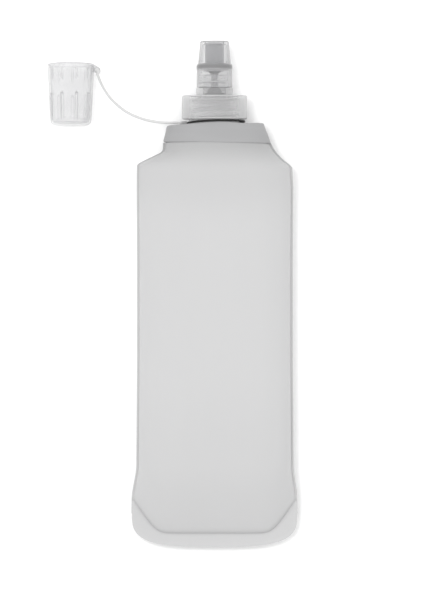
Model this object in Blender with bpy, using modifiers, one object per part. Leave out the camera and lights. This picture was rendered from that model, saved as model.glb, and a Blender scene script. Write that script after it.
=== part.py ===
"""Soft folding water flask, lying on its back with its mouthpiece along +Y.

Run with: blender --background --python part.py

Frame: the origin is on the surface that the flask lies on, under the middle of the bag.
+Y runs up the bottle to the mouthpiece, +X to the right and +Z away from the surface.
Everything round is turned about the neck's axis, which is parallel to Y at AXIS_HEIGHT.
The open dust cap lies to the left, on a moulded tether that turns round the neck.
"""
import math

import bmesh
import bpy
from mathutils import Matrix, Vector

MM = 0.001

# Fits between neighbours
GAP = 0.3 * MM

# The neck's axis, and the plane that holds the tether and the dust cap
AXIS_HEIGHT = 16.5 * MM
DUST_CAP_X = -72.0 * MM
DUST_CAP_AXIS_HEIGHT = 12.0 * MM
TETHER_TILT = math.asin((AXIS_HEIGHT - DUST_CAP_AXIS_HEIGHT) / -DUST_CAP_X)

# Bag: two films, welded along both sides and across the bottom
FILM = 0.5 * MM
WELD_GAP = 0.3 * MM
BAG_HALF_WIDTH = 38.0 * MM
SIDE_SEAM = 1.2 * MM
SEAM_HEIGHT = 14.0 * MM
FRONT_RISE = 12.0 * MM
FOLD_Y = -8.0 * MM
FOLD_Z = 27.2 * MM
WELD_Y = -95.0 * MM
WELD_HALF_WIDTH = 40.3 * MM
# The bottom weld is cut off at both corners: where the slope starts, its steepness, its rounding
WELD_CORNER_X = 29.2 * MM
WELD_CORNER_SLOPE = 1.5
WELD_CORNER_SOFTNESS = 2.0 * MM
# The hem's cut edge is a quarter superellipse at each corner
HEM_Y = -101.8 * MM
HEM_CORNER_Y = -85.0 * MM
HEM_HALF_WIDTH = 41.4 * MM
HEM_POWER = 3.3
HEM_SEAM_STEP = 0.2 * MM
HEM_SEAM_RISE = 1.5 * MM
# Above the weld the bag fills out over BOTTOM_TAPER, and its sides draw in over SIDE_FLARE
BOTTOM_TAPER = 34.0 * MM
TAPER_ROUNDNESS = 2.2
TAPER_FULLNESS = 0.75
SIDE_FLARE = 18.0 * MM
SHOULDER_LOW_Y = 87.0 * MM
SHOULDER_HIGH_Y = 96.5 * MM
SHOULDER_HOLLOW = 1.25
# The section goes from a flat pillow, squarer as the power grows, to an ellipse at the mouth
MOUTH_TAPER_LOW_Y = 60.0 * MM
FRONT_POWER = 3.0
BACK_POWER = 3.2
MOUTH_POWER = 2.0
BACK_OVERFILL = 1.0 * MM
MOUTH_HALF_WIDTH = 25.2 * MM
MOUTH_HALF_DEPTH = 14.9 * MM
# Side seam's height along the bag: up to the neck's axis at the top, down towards the hem
SEAM_RISE_Y = (55.0 * MM, 95.0 * MM)
SEAM_SINK_Y = (60.0 * MM, 100.0 * MM)
SEAM_SINK = 6.0 * MM

# Shoulder collar and threaded neck
COLLAR_LOW_Y = 100.9 * MM
COLLAR_TOP_Y = 109.7 * MM
COLLAR_HALF_WIDTH = 26.8 * MM
COLLAR_TOP_HALF_WIDTH = 24.3 * MM
COLLAR_DEPTH_SHARE = 0.6
COLLAR_BEVEL = 0.7 * MM
COLLAR_FOOT_OVERLAP = 1.0 * MM
COLLAR_FOOT_Y = 95.6 * MM
COLLAR_FOOT_HALF_WIDTH = 24.4 * MM
COLLAR_FOOT_DEPTH_SHARE = 0.585
NECK_BORE = 11.1 * MM
NECK_RADIUS = 12.6 * MM
NECK_CHAMFER = 0.3 * MM
NECK_TOP_Y = 121.2 * MM
NECK_FLANGE_RADIUS = 13.9 * MM
NECK_FLANGE_LOW_Y = 102.5 * MM
NECK_FLANGE_TOP_Y = 104.5 * MM

# Thread
PITCH = 4.0 * MM
THREAD_RADIUS = 1.15 * MM
THREAD_LOW_Y = 113.9 * MM
THREAD_TURNS = 1.25
NECK_THREAD_CENTRE = 12.9 * MM
CAP_THREAD_CENTRE = 14.6 * MM

# Rings between collar and cap
TETHER_RING_LOW_Y = 110.15 * MM
TETHER_RING_TOP_Y = 111.15 * MM
GASKET_LOW_Y = 111.35 * MM
GASKET_TOP_Y = 112.05 * MM
RING_RADIUS = 16.0 * MM
RING_CHAMFER = 0.15 * MM
RING_STUB_WIDTH = 2.6 * MM
RING_STUB_THICKNESS = 0.9 * MM
RING_STUB_OVERLAP = 0.8 * MM

# Screw cap
CAP_LOW_Y = 112.35 * MM
CAP_TOP_Y = 124.2 * MM
CAP_RADIUS = 16.3 * MM
CAP_BORE = 14.9 * MM
CAP_TOP_WALL = 1.6 * MM
CAP_HOLE = 8.6 * MM
CAP_TOP_CHAMFER = 0.5 * MM
CAP_LOW_CHAMFER = 0.3 * MM
LINER_CHAMFER = 0.1 * MM

# Nozzle
NOZZLE_BORE = 5.6 * MM
PLUG_LOW_Y = 113.0 * MM
PLUG_RADIUS = 7.7 * MM
PLUG_RIB = 0.6 * MM
PLUG_RIBS = 5
PLUG_CHAMFER = 0.3 * MM
NOZZLE_COLLAR_RADIUS = 9.15 * MM
NOZZLE_COLLAR_TOP_Y = 127.9 * MM
NOZZLE_COLLAR_CHAMFER = 0.6 * MM
SPIGOT_RADIUS = 6.9 * MM
SPIGOT_TOP_Y = 134.0 * MM
SPIGOT_CHAMFER = 0.2 * MM
SEAL_Y = 131.0 * MM
SEAL_RADIUS = 7.55 * MM
SEAL_HALF_HEIGHT = 0.6 * MM
SEAL_CHAMFER = 0.2 * MM
SEAL_GROOVE_DEPTH = 0.6 * MM
SEAL_GROOVE_CLEARANCE = 0.2 * MM

# Valve: a stem on three legs, flared under the disc and at its foot, a disc and a domed tip
STEM_RADIUS = 1.65 * MM
STEM_HEAD_RADIUS = 4.4 * MM
STEM_HEAD_ROOT = 3.0 * MM
STEM_HEAD_HEIGHT = 1.8 * MM
STEM_FOOT_RADIUS = 4.0 * MM
STEM_FOOT_STEP = 3.6 * MM
STEM_BELL_RADIUS = 2.3 * MM
STEM_BELL_DROP = 0.9 * MM
LEGS = 3
LEG_ROOT = 2.0 * MM
LEG_WIDTH = 1.2 * MM
LEG_THICKNESS = 1.0 * MM
DISC_LOW_Y = 136.7 * MM
DISC_TOP_Y = 139.6 * MM
DISC_RADIUS = 7.6 * MM
DISC_TOP_CHAMFER = 0.4 * MM
DISC_LOW_CHAMFER = 0.5 * MM
TIP_RADIUS = 4.5 * MM
TIP_ROUNDING = 2.2 * MM
TIP_TOP_Y = 150.5 * MM

# Mouthpiece: a tapered lip above a bead, and a straight skirt
MOUTHPIECE_LOW_Y = 128.2 * MM
MOUTHPIECE_TOP_Y = 151.35 * MM
MOUTHPIECE_HOLE = 4.9 * MM
LIP_RADIUS = 7.1 * MM
LIP_CHAMFER = 0.2 * MM
LIP_FOOT_RADIUS = 8.15 * MM
LIP_FOOT_Y = 140.1 * MM
LIP_BORE = 6.3 * MM
LIP_FOOT_BORE = 7.3 * MM
LIP_BORE_TOP_Y = 149.6 * MM
LIP_TOP_WALL = 1.05 * MM
BEAD_RADIUS = 9.0 * MM
BEAD_SHOULDER_RADIUS = 8.7 * MM
BEAD_TOP_Y = 139.7 * MM
BEAD_LOW_Y = 137.4 * MM
BEAD_ROUNDING = 0.7 * MM
SKIRT_TOP_RADIUS = 8.75 * MM
SKIRT_RADIUS = 8.9 * MM
SKIRT_BORE = 7.85 * MM
SKIRT_TOP_BORE = 7.95 * MM

# Dust cap
DUST_CAP_LOW_Y = 109.5 * MM
DUST_CAP_HEIGHT = 30.5 * MM
DUST_CAP_RIM_RADIUS = 11.75 * MM
DUST_CAP_FOOT_RADIUS = 10.45 * MM
DUST_CAP_WALL = 0.95 * MM
DUST_CAP_FLOOR = 1.2 * MM
DUST_CAP_FOOT_HEIGHT = 2.2 * MM
DUST_CAP_FOOT_ROUNDING = 0.8 * MM
DUST_CAP_BASE_RADIUS = 8.65 * MM
DUST_CAP_FLOOR_RADIUS = 8.4 * MM
DUST_CAP_BORE_FOOT_RADIUS = 9.4 * MM
DUST_CAP_SOCKET_STEP = 0.35 * MM
DUST_CAP_SOCKET_WALL = 0.85 * MM
DUST_CAP_SOCKET_DEPTH = 2.5 * MM
DUST_CAP_FLUTES = 9
DUST_CAP_FLUTE_PHASE = math.radians(75)
FLUTE_RADIUS = 0.85 * MM
FLUTE_LENGTH = 13.2 * MM
FLUTE_MIDDLE = 9.2 * MM
FLUTE_DEPTH = 0.5 * MM
INNER_RIB_SIZE = (1.1 * MM, 0.9 * MM, 7.6 * MM)
INNER_RIB_MIDDLE = 4.1 * MM
LUG_HALF_THICKNESS = 0.8 * MM
LUG_RADIUS = 1.75 * MM
LUG_HOLE = 1.0 * MM
LUG_BRIDGE_OVERLAP = 0.75 * MM
LUG_BRIDGE_THINNER = 0.95
LUG_BRIDGE_WIDTH = 3.0 * MM

# Tether: hinge points in the tether's plane, x across and y along the bottle
TETHER_RADIUS = 0.6 * MM
TETHER_ROOT = Vector((-18.2, 110.65)) * MM
TETHER_BEND = Vector((-44.0, 116.0)) * MM
TOGGLE = Vector((-58.8, 137.2)) * MM
TOGGLE_HEAD_HEIGHT = 1.7 * MM
TOGGLE_HEAD_RADIUS = 1.5 * MM
TOGGLE_HEAD_HALF = 0.6 * MM
TOGGLE_CHAMFER = 0.4 * MM
TOGGLE_STEPS = 16
TETHER_STEP = 2.6 * MM
# Route of the strap from ring to toggle: across, along, and above the plane
TETHER_ROUTE = (
    (-18.2, 110.65, 0.0),
    (-24.8, 110.7, -0.9),
    (-31.8, 111.6, -2.2),
    (-38.0, 113.3, -3.0),
    (-44.0, 116.0, -3.1),
    (-49.0, 119.7, -2.5),
    (-53.0, 123.9, -1.5),
    (-56.2, 129.0, -0.1),
    (-58.0, 133.2, 1.2),
    (-58.7, 135.4, 1.7),
)

ROUND_STEPS = 32
FINE_STEPS = 24
COARSE_STEPS = 12
FLUTE_STEPS = 8
COLLAR_STEPS = 40
THREAD_STEPS_PER_TURN = 20


def remove_everything():
    for old in list(bpy.data.objects):
        bpy.data.objects.remove(old, do_unlink=True)


remove_everything()
flask = bpy.data.collections.new("folding_water_flask")
tools = bpy.data.collections.new("cutters")
bpy.context.scene.collection.children.link(flask)
bpy.context.scene.collection.children.link(tools)


def empty(name, parent=None, location=(0, 0, 0), rotation=(0, 0, 0)):
    frame = bpy.data.objects.new(name, None)
    flask.objects.link(frame)
    frame.empty_display_size = 0.01
    frame.parent = parent
    frame.location = location
    frame.rotation_euler = rotation
    return frame


# Local Z of neck_axis runs up the neck, so a height there is a world Y.
neck_axis = empty("neck_axis", None, (0, 0, AXIS_HEIGHT), (-math.pi / 2, 0, 0))
# Local X and Y of tether_plane hold the strap and the dust cap's axis.
tether_plane = empty("tether_plane", None, (0, 0, AXIS_HEIGHT), (0, -TETHER_TILT, 0))
root_hinge = empty("root_hinge", tether_plane, (*TETHER_ROOT, 0))
bend_hinge = empty("bend_hinge", tether_plane, (*TETHER_BEND, 0))
toggle_hinge = empty("toggle_hinge", tether_plane, (*TOGGLE, 0))
fold_hinge = empty("fold_hinge", None, (0, FOLD_Y, FOLD_Z))


def material(name, colour, roughness, alpha=1.0, transmission=0.0):
    made = bpy.data.materials.new(name)
    made.use_nodes = True
    shader = made.node_tree.nodes["Principled BSDF"]
    shader.inputs["Base Color"].default_value = (*colour, 1.0)
    shader.inputs["Roughness"].default_value = roughness
    shader.inputs["Metallic"].default_value = 0.0
    shader.inputs["Alpha"].default_value = alpha
    shader.inputs["Transmission Weight"].default_value = transmission
    return made


def piece(name, mesh, look, parent=None, location=(0, 0, 0), rotation=(0, 0, 0)):
    made = bpy.data.objects.new(name, mesh)
    flask.objects.link(made)
    made.parent = parent
    made.location = location
    made.rotation_euler = rotation
    mesh.materials.append(look)
    mesh.shade_smooth()
    return made


def cutter(name, mesh, parent=None):
    made = bpy.data.objects.new(name, mesh)
    tools.objects.link(made)
    made.parent = parent
    made.hide_render = True
    made.display_type = "WIRE"
    return made


def turn(made, steps=ROUND_STEPS):
    """Turns a profile in the object's XZ plane a full circle about its Z axis."""
    screw = made.modifiers.new("Turn", "SCREW")
    screw.steps = steps
    screw.render_steps = steps
    screw.use_merge_vertices = True
    screw.merge_threshold = 0.01 * MM
    return made


def profile(name, points, closed=True):
    """A profile in the XZ plane, running down its outer side."""
    mesh = bpy.data.meshes.new(name)
    count = len(points)
    edges = [(i, i + 1) for i in range(count - 1)]
    if closed:
        edges.append((count - 1, 0))
    mesh.from_pydata([(r, 0, z) for r, z in points], edges, [])
    return mesh


def ring(inner, outer, low, high, bevel):
    """A washer's section, with small chamfers."""
    return [
        (inner, high),
        (outer - bevel, high),
        (outer, high - bevel),
        (outer, low + bevel),
        (outer - bevel, low),
        (inner, low),
    ]


def boolean(made, other, operation):
    cut = made.modifiers.new(operation.title(), "BOOLEAN")
    cut.operation = operation
    cut.solver = "EXACT"
    cut.object = other


def mesh_of(curve_object):
    """The curve's tube as a mesh with its end caps welded on."""
    bpy.context.view_layer.update()
    graph = bpy.context.evaluated_depsgraph_get()
    mesh = bpy.data.meshes.new_from_object(curve_object.evaluated_get(graph))
    shape = bmesh.new()
    shape.from_mesh(mesh)
    bmesh.ops.remove_doubles(shape, verts=shape.verts, dist=0.001 * MM)
    shape.to_mesh(mesh)
    shape.free()
    curve = curve_object.data
    bpy.data.objects.remove(curve_object, do_unlink=True)
    bpy.data.curves.remove(curve)
    return mesh


def tube_curve(name, points, radius, resolution):
    curve = bpy.data.curves.new(name, "CURVE")
    curve.dimensions = "3D"
    curve.bevel_depth = radius
    curve.bevel_resolution = resolution
    curve.use_fill_caps = True
    spline = curve.splines.new("POLY")
    spline.points.add(len(points) - 1)
    for knot, point in zip(spline.points, points):
        knot.co = (*point, 1)
    return curve


def thread_mesh(name, centre, first_turn):
    """A right-hand thread ridge round Z, first_turn turns on from the start of the helix."""
    count = round(THREAD_TURNS * THREAD_STEPS_PER_TURN)
    points = []
    for i in range(count + 1):
        turns = first_turn + i / THREAD_STEPS_PER_TURN
        angle = 2 * math.pi * turns
        height = THREAD_LOW_Y + PITCH * (turns - first_turn)
        points.append((centre * math.cos(angle), centre * math.sin(angle), height))
    ridge = bpy.data.objects.new(name, tube_curve(name, points, THREAD_RADIUS, 1))
    tools.objects.link(ridge)
    return mesh_of(ridge)


# ---------------------------------------------------------------- bag films

def smooth(value, low, high):
    """0 below low, 1 above high, with a smooth rise between."""
    share = min(max((value - low) / (high - low), 0.0), 1.0)
    return share * share * (3 - 2 * share)


def seam_height(y):
    """The welded seam's height: it rises to the neck's axis, and sinks towards the hem."""
    rise = (AXIS_HEIGHT - SEAM_HEIGHT) * smooth(y, *SEAM_RISE_Y)
    sink = SEAM_SINK * smooth(-y, *SEAM_SINK_Y)
    return SEAM_HEIGHT + rise - sink


def half_width(y):
    """The bag's half width inside its side seams, drawn in at the shoulders."""
    share = min(max((y - SHOULDER_LOW_Y) / (SHOULDER_HIGH_Y - SHOULDER_LOW_Y), 0.0), 1.0)
    drawn_in = share ** SHOULDER_HOLLOW
    return BAG_HALF_WIDTH + (MOUTH_HALF_WIDTH - BAG_HALF_WIDTH) * drawn_in


def weld_point(s):
    """A point on the bottom weld: straight across the middle, cut off at both corners."""
    x = WELD_HALF_WIDTH * s
    past = (abs(x) - WELD_CORNER_X) / WELD_CORNER_SOFTNESS
    rise = WELD_CORNER_SLOPE * WELD_CORNER_SOFTNESS * math.log1p(math.exp(past))
    return x, WELD_Y + rise


def hem_point(s):
    """A point on the hem's cut edge, with its rounded corners."""
    fall = (1 - min(abs(s), 1.0) ** HEM_POWER) ** (1 / HEM_POWER)
    return HEM_HALF_WIDTH * s, HEM_CORNER_Y - (HEM_CORNER_Y - HEM_Y) * fall


def film_rise(s, y, taper, front):
    """How far a film stands off the seam's plane, s of the way across at height y."""
    mouth = smooth(y, MOUTH_TAPER_LOW_Y, SHOULDER_HIGH_Y)
    body_power = FRONT_POWER if front else BACK_POWER
    power = body_power + (MOUTH_POWER - body_power) * mouth
    across = (1 - min(abs(s), 1.0) ** power) ** (1 / power)
    body_rise = FRONT_RISE if front else seam_height(y) + BACK_OVERFILL
    rise = body_rise + (MOUTH_HALF_DEPTH - body_rise) * mouth
    return rise * across * taper


def film_mesh(name, rows, columns, place, front):
    """One film, from a grid whose corners are placed by place(column, row)."""
    mesh = bpy.data.meshes.new(name)
    shape = bmesh.new()
    bmesh.ops.create_grid(shape, x_segments=columns, y_segments=rows, size=1)
    for corner in shape.verts:
        column = round((corner.co.x + 1) / 2 * columns)
        row = round((corner.co.y + 1) / 2 * rows)
        corner.co = place(column, row)
    if not front:
        bmesh.ops.reverse_faces(shape, faces=shape.faces)
    shape.to_mesh(mesh)
    shape.free()
    return mesh


BAG_COLUMNS = 16
HEM_ROWS = 2
LOWER_ROWS = 10
# Rows crowd towards the weld by this power
ROW_CROWDING = 1.7
# Heights of the upper film's rows along Y, in millimetres, closest at the shoulders
UPPER_ROWS = (-7.85, 12, 32, 50, 64, 75, 82, 87, 89.5, 91.8, 93.8, 95.4, 96.6, 98.5, 100.5)


def column_share(column):
    """Share of the half width at a column, closer together at the edges; the outermost is the seam."""
    spread = (column - 1) / (BAG_COLUMNS - 2) * 2 - 1
    spread = min(max(spread, -1.0), 1.0)
    return math.sin(math.pi / 2 * spread)


def seam_offset(column):
    """Sideways step from the pocket's edge to the seam's outer edge."""
    if column == 0:
        return -SIDE_SEAM
    if column == BAG_COLUMNS:
        return SIDE_SEAM
    return 0.0


def film_height(s, y, taper, front, in_seam):
    side = 1 if front else -1
    height = seam_height(y) + side * WELD_GAP / 2
    if not in_seam:
        height += side * film_rise(s, y, taper, front)
    if not front:
        height = max(height, FILM)
    return height


def upper_film(name, front):
    def place(column, row):
        s = column_share(column)
        y = UPPER_ROWS[row] * MM
        x = half_width(y) * s + seam_offset(column)
        in_seam = column in (0, BAG_COLUMNS)
        return Vector((x, y, film_height(s, y, 1.0, front, in_seam)))

    return film_mesh(name, len(UPPER_ROWS) - 1, BAG_COLUMNS, place, front)


def lower_film(name, front):
    def place(column, row):
        s = column_share(column)
        weld_x, weld_y = weld_point(s)
        offset = seam_offset(column)
        if row <= HEM_ROWS:
            share = row / HEM_ROWS
            edge_x, edge_y = hem_point(s)
            if offset:
                edge_y = HEM_CORNER_Y + HEM_SEAM_RISE
                edge_x = math.copysign(HEM_HALF_WIDTH + HEM_SEAM_STEP, s)
                weld_x += offset
            x = edge_x + (weld_x - edge_x) * share
            y = edge_y + (weld_y - edge_y) * share
            return Vector((x, y, film_height(s, y, 0.0, front, True)))
        share = (row - HEM_ROWS) / (LOWER_ROWS - HEM_ROWS)
        top_y = FOLD_Y - GAP / 2
        y = weld_y + (top_y - weld_y) * share ** ROW_CROWDING
        x = weld_x + (BAG_HALF_WIDTH * s - weld_x) * smooth(y, weld_y, weld_y + SIDE_FLARE)
        run = min((y - weld_y) / BOTTOM_TAPER, 1.0)
        taper = (1 - (1 - run) ** TAPER_ROUNDNESS) ** TAPER_FULLNESS
        return Vector((x + offset, y, film_height(s, y, taper, front, bool(offset))))

    return film_mesh(name, LOWER_ROWS, BAG_COLUMNS, place, front)


def add_film(name, mesh, look, parent):
    film = piece(name, mesh, look)
    if parent is not None:
        mesh.transform(Matrix.Translation(-parent.location))
        film.parent = parent
    skin = film.modifiers.new("Film", "SOLIDIFY")
    skin.thickness = FILM
    skin.offset = 1.0
    return film


film_look = material("film", (0.80, 0.80, 0.80), 0.38, 0.75)
add_film("front_film_upper", upper_film("front_film_upper", True), film_look, None)
add_film("front_film_lower", lower_film("front_film_lower", True), film_look.copy(), fold_hinge)
add_film("back_film_upper", upper_film("back_film_upper", False), film_look.copy(), None)
add_film("back_film_lower", lower_film("back_film_lower", False), film_look.copy(), fold_hinge)


# ---------------------------------------------------------------- neck

def oval_block(name, low, high, low_half_width, high_half_width, depth_share, bevel):
    """An oval, slightly tapered block round the neck's axis."""
    mesh = bpy.data.meshes.new(name)
    shape = bmesh.new()
    bmesh.ops.create_cone(
        shape,
        cap_ends=True,
        segments=COLLAR_STEPS,
        radius1=low_half_width,
        radius2=high_half_width,
        depth=high - low,
        matrix=Matrix.Translation((0, 0, (low + high) / 2)),
    )
    bmesh.ops.scale(shape, vec=(1, depth_share, 1), verts=shape.verts)
    if bevel:
        rims = [
            edge
            for edge in shape.edges
            if abs(edge.verts[0].co.z - edge.verts[1].co.z) < 0.01 * MM
        ]
        bmesh.ops.bevel(
            shape, geom=rims, offset=bevel, segments=2, profile=0.5, affect="EDGES"
        )
    shape.to_mesh(mesh)
    shape.free()
    return mesh


def add_collar():
    """The oval shoulder collar: its foot is welded between the films, its bore holds the neck."""
    mesh = oval_block(
        "shoulder_collar",
        COLLAR_LOW_Y,
        COLLAR_TOP_Y,
        COLLAR_HALF_WIDTH,
        COLLAR_TOP_HALF_WIDTH,
        COLLAR_DEPTH_SHARE,
        COLLAR_BEVEL,
    )
    look = material("collar", (0.42, 0.42, 0.43), 0.42, 0.9)
    collar = piece("shoulder_collar", mesh, look, neck_axis)
    foot = cutter(
        "collar_foot",
        oval_block(
            "collar_foot",
            COLLAR_FOOT_Y,
            COLLAR_LOW_Y + COLLAR_FOOT_OVERLAP,
            COLLAR_FOOT_HALF_WIDTH,
            COLLAR_FOOT_HALF_WIDTH,
            COLLAR_FOOT_DEPTH_SHARE,
            0,
        ),
        neck_axis,
    )
    bore_radius = NECK_RADIUS + GAP
    groove_radius = NECK_FLANGE_RADIUS + GAP
    beyond = 5 * MM
    bore = cutter(
        "collar_bore",
        profile(
            "collar_bore",
            [
                (0, COLLAR_TOP_Y + beyond),
                (bore_radius, COLLAR_TOP_Y + beyond),
                (bore_radius, NECK_FLANGE_TOP_Y + GAP),
                (groove_radius, NECK_FLANGE_TOP_Y + GAP),
                (groove_radius, NECK_FLANGE_LOW_Y - GAP),
                (bore_radius, NECK_FLANGE_LOW_Y - GAP),
                (bore_radius, COLLAR_FOOT_Y - beyond),
                (0, COLLAR_FOOT_Y - beyond),
            ],
            closed=False,
        ),
        neck_axis,
    )
    turn(bore)
    boolean(collar, foot, "UNION")
    boolean(collar, bore, "DIFFERENCE")


def add_neck():
    """The threaded neck, held in the collar by its flange."""
    outline = [
        (NECK_BORE, NECK_TOP_Y),
        (NECK_RADIUS - NECK_CHAMFER, NECK_TOP_Y),
        (NECK_RADIUS, NECK_TOP_Y - NECK_CHAMFER),
        (NECK_RADIUS, NECK_FLANGE_TOP_Y),
        (NECK_FLANGE_RADIUS, NECK_FLANGE_TOP_Y),
        (NECK_FLANGE_RADIUS, NECK_FLANGE_LOW_Y),
        (NECK_RADIUS, NECK_FLANGE_LOW_Y),
        (NECK_RADIUS, COLLAR_FOOT_Y),
        (NECK_BORE, COLLAR_FOOT_Y),
    ]
    look = material("neck", (0.62, 0.62, 0.63), 0.35, 0.85)
    neck = turn(piece("threaded_neck", profile("threaded_neck", outline), look, neck_axis))
    ridge = cutter("neck_thread", thread_mesh("neck_thread", NECK_THREAD_CENTRE, 0.0), neck_axis)
    boolean(neck, ridge, "UNION")


def add_gasket():
    outline = ring(NECK_RADIUS + GAP, RING_RADIUS, GASKET_LOW_Y, GASKET_TOP_Y, RING_CHAMFER)
    look = material("gasket", (0.02, 0.02, 0.02), 0.6)
    turn(piece("neck_gasket", profile("neck_gasket", outline), look, neck_axis))


def add_screw_cap():
    """The cap screws down on the neck and clamps the nozzle's flange under its top."""
    outline = [
        (CAP_HOLE, CAP_TOP_Y),
        (CAP_RADIUS - CAP_TOP_CHAMFER, CAP_TOP_Y),
        (CAP_RADIUS, CAP_TOP_Y - CAP_TOP_CHAMFER),
        (CAP_RADIUS, CAP_LOW_Y + CAP_LOW_CHAMFER),
        (CAP_RADIUS - CAP_LOW_CHAMFER, CAP_LOW_Y),
        (CAP_BORE, CAP_LOW_Y),
        (CAP_BORE, CAP_TOP_Y - CAP_TOP_WALL),
        (CAP_HOLE, CAP_TOP_Y - CAP_TOP_WALL),
    ]
    look = material("screw_cap", (0.55, 0.55, 0.56), 0.4, 0.85)
    cap = turn(piece("screw_cap", profile("screw_cap", outline), look, neck_axis))
    # Half a pitch behind the neck's ridge, so the two ridges pass between each other.
    ridge = cutter("cap_thread", thread_mesh("cap_thread", CAP_THREAD_CENTRE, 0.5), neck_axis)
    boolean(cap, ridge, "UNION")


# ---------------------------------------------------------------- nozzle

LINER_LOW_Y = NECK_TOP_Y + GAP
LINER_TOP_Y = CAP_TOP_Y - CAP_TOP_WALL - GAP
NOZZLE_FLANGE_RADIUS = 9.0 * MM


def add_liner():
    outline = ring(
        NOZZLE_FLANGE_RADIUS + GAP, CAP_BORE - 2 * GAP, LINER_LOW_Y, LINER_TOP_Y, LINER_CHAMFER
    )
    look = material("liner", (0.75, 0.75, 0.74), 0.6)
    turn(piece("cap_liner", profile("cap_liner", outline), look, neck_axis))


def add_nozzle_base():
    """The nozzle's body: a ribbed plug in the neck, a flange, a collar and the spigot."""
    groove_radius = SPIGOT_RADIUS - SEAL_GROOVE_DEPTH
    groove_half = SEAL_HALF_HEIGHT + SEAL_GROOVE_CLEARANCE
    waist_radius = CAP_HOLE - GAP
    collar_low = CAP_TOP_Y + GAP
    outline = [
        (NOZZLE_BORE, SPIGOT_TOP_Y),
        (SPIGOT_RADIUS - SPIGOT_CHAMFER, SPIGOT_TOP_Y),
        (SPIGOT_RADIUS, SPIGOT_TOP_Y - SPIGOT_CHAMFER),
        (SPIGOT_RADIUS, SEAL_Y + groove_half),
        (groove_radius, SEAL_Y + groove_half),
        (groove_radius, SEAL_Y - groove_half),
        (SPIGOT_RADIUS, SEAL_Y - groove_half),
        (SPIGOT_RADIUS, NOZZLE_COLLAR_TOP_Y),
        (NOZZLE_COLLAR_RADIUS, NOZZLE_COLLAR_TOP_Y),
        (NOZZLE_COLLAR_RADIUS, collar_low + NOZZLE_COLLAR_CHAMFER),
        (NOZZLE_COLLAR_RADIUS - NOZZLE_COLLAR_CHAMFER, collar_low),
        (waist_radius, collar_low),
        (waist_radius, LINER_TOP_Y),
        (NOZZLE_FLANGE_RADIUS, LINER_TOP_Y),
        (NOZZLE_FLANGE_RADIUS, LINER_LOW_Y),
        (PLUG_RADIUS, LINER_LOW_Y),
    ]
    rib_pitch = (LINER_LOW_Y - PLUG_LOW_Y) / (PLUG_RIBS + 0.5)
    for i in range(PLUG_RIBS):
        middle = LINER_LOW_Y - (i + 1) * rib_pitch
        quarter = rib_pitch / 4
        outline += [
            (PLUG_RADIUS, middle + quarter),
            (PLUG_RADIUS + PLUG_RIB, middle),
            (PLUG_RADIUS, middle - quarter),
        ]
    outline += [(PLUG_RADIUS - PLUG_CHAMFER, PLUG_LOW_Y), (NOZZLE_BORE, PLUG_LOW_Y)]
    look = material("nozzle_base", (0.72, 0.72, 0.73), 0.25, 0.7)
    turn(piece("nozzle_base", profile("nozzle_base", outline), look, neck_axis), FINE_STEPS)


def add_mouthpiece_seal():
    inner = SPIGOT_RADIUS - SEAL_GROOVE_DEPTH + SEAL_GROOVE_CLEARANCE
    low = SEAL_Y - SEAL_HALF_HEIGHT
    high = SEAL_Y + SEAL_HALF_HEIGHT
    outline = ring(inner, SEAL_RADIUS, low, high, SEAL_CHAMFER)
    look = material("mouthpiece_seal", (0.6, 0.6, 0.6), 0.5, 0.8)
    seal = piece("mouthpiece_seal", profile("mouthpiece_seal", outline), look, neck_axis)
    turn(seal, FINE_STEPS)


def add_stem():
    """The valve's stem, on legs that stand in the nozzle's bore."""
    foot_y = CAP_TOP_Y + GAP / 3
    head_y = DISC_LOW_Y - GAP
    outline = [
        (0, head_y),
        (STEM_HEAD_RADIUS, head_y),
        (STEM_HEAD_ROOT, head_y - STEM_HEAD_HEIGHT),
        (STEM_RADIUS, head_y - STEM_HEAD_HEIGHT),
        (STEM_RADIUS, NOZZLE_COLLAR_TOP_Y),
        (STEM_BELL_RADIUS, NOZZLE_COLLAR_TOP_Y - STEM_BELL_DROP),
        (STEM_FOOT_STEP, foot_y + LEG_THICKNESS),
        (STEM_FOOT_RADIUS, foot_y),
        (0, foot_y),
    ]
    look = material("valve_stem", (0.30, 0.30, 0.32), 0.45)
    stem = piece("valve_stem", profile("valve_stem", outline, False), look, neck_axis)
    turn(stem, FINE_STEPS)
    legs = bpy.data.meshes.new("stem_legs")
    shape = bmesh.new()
    leg_end = NOZZLE_BORE - GAP
    leg_y = foot_y + 0.75 * LEG_THICKNESS
    size = Matrix.Diagonal((leg_end - LEG_ROOT, LEG_WIDTH, LEG_THICKNESS, 1))
    there = Matrix.Translation(((leg_end + LEG_ROOT) / 2, 0, leg_y))
    for i in range(LEGS):
        turned = Matrix.Rotation(math.pi / 2 + 2 * math.pi * i / LEGS, 4, "Z")
        bmesh.ops.create_cube(shape, size=1, matrix=turned @ there @ size)
    shape.to_mesh(legs)
    shape.free()
    boolean(stem, cutter("stem_legs", legs, neck_axis), "UNION")


def add_disc():
    outline = [
        (0, DISC_TOP_Y),
        (DISC_RADIUS - DISC_TOP_CHAMFER, DISC_TOP_Y),
        (DISC_RADIUS, DISC_TOP_Y - DISC_TOP_CHAMFER),
        (DISC_RADIUS, DISC_LOW_Y + DISC_LOW_CHAMFER),
        (DISC_RADIUS - DISC_LOW_CHAMFER, DISC_LOW_Y),
        (0, DISC_LOW_Y),
    ]
    look = material("valve_disc", (0.24, 0.24, 0.25), 0.5)
    turn(piece("valve_disc", profile("valve_disc", outline, False), look, neck_axis), FINE_STEPS)


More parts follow.
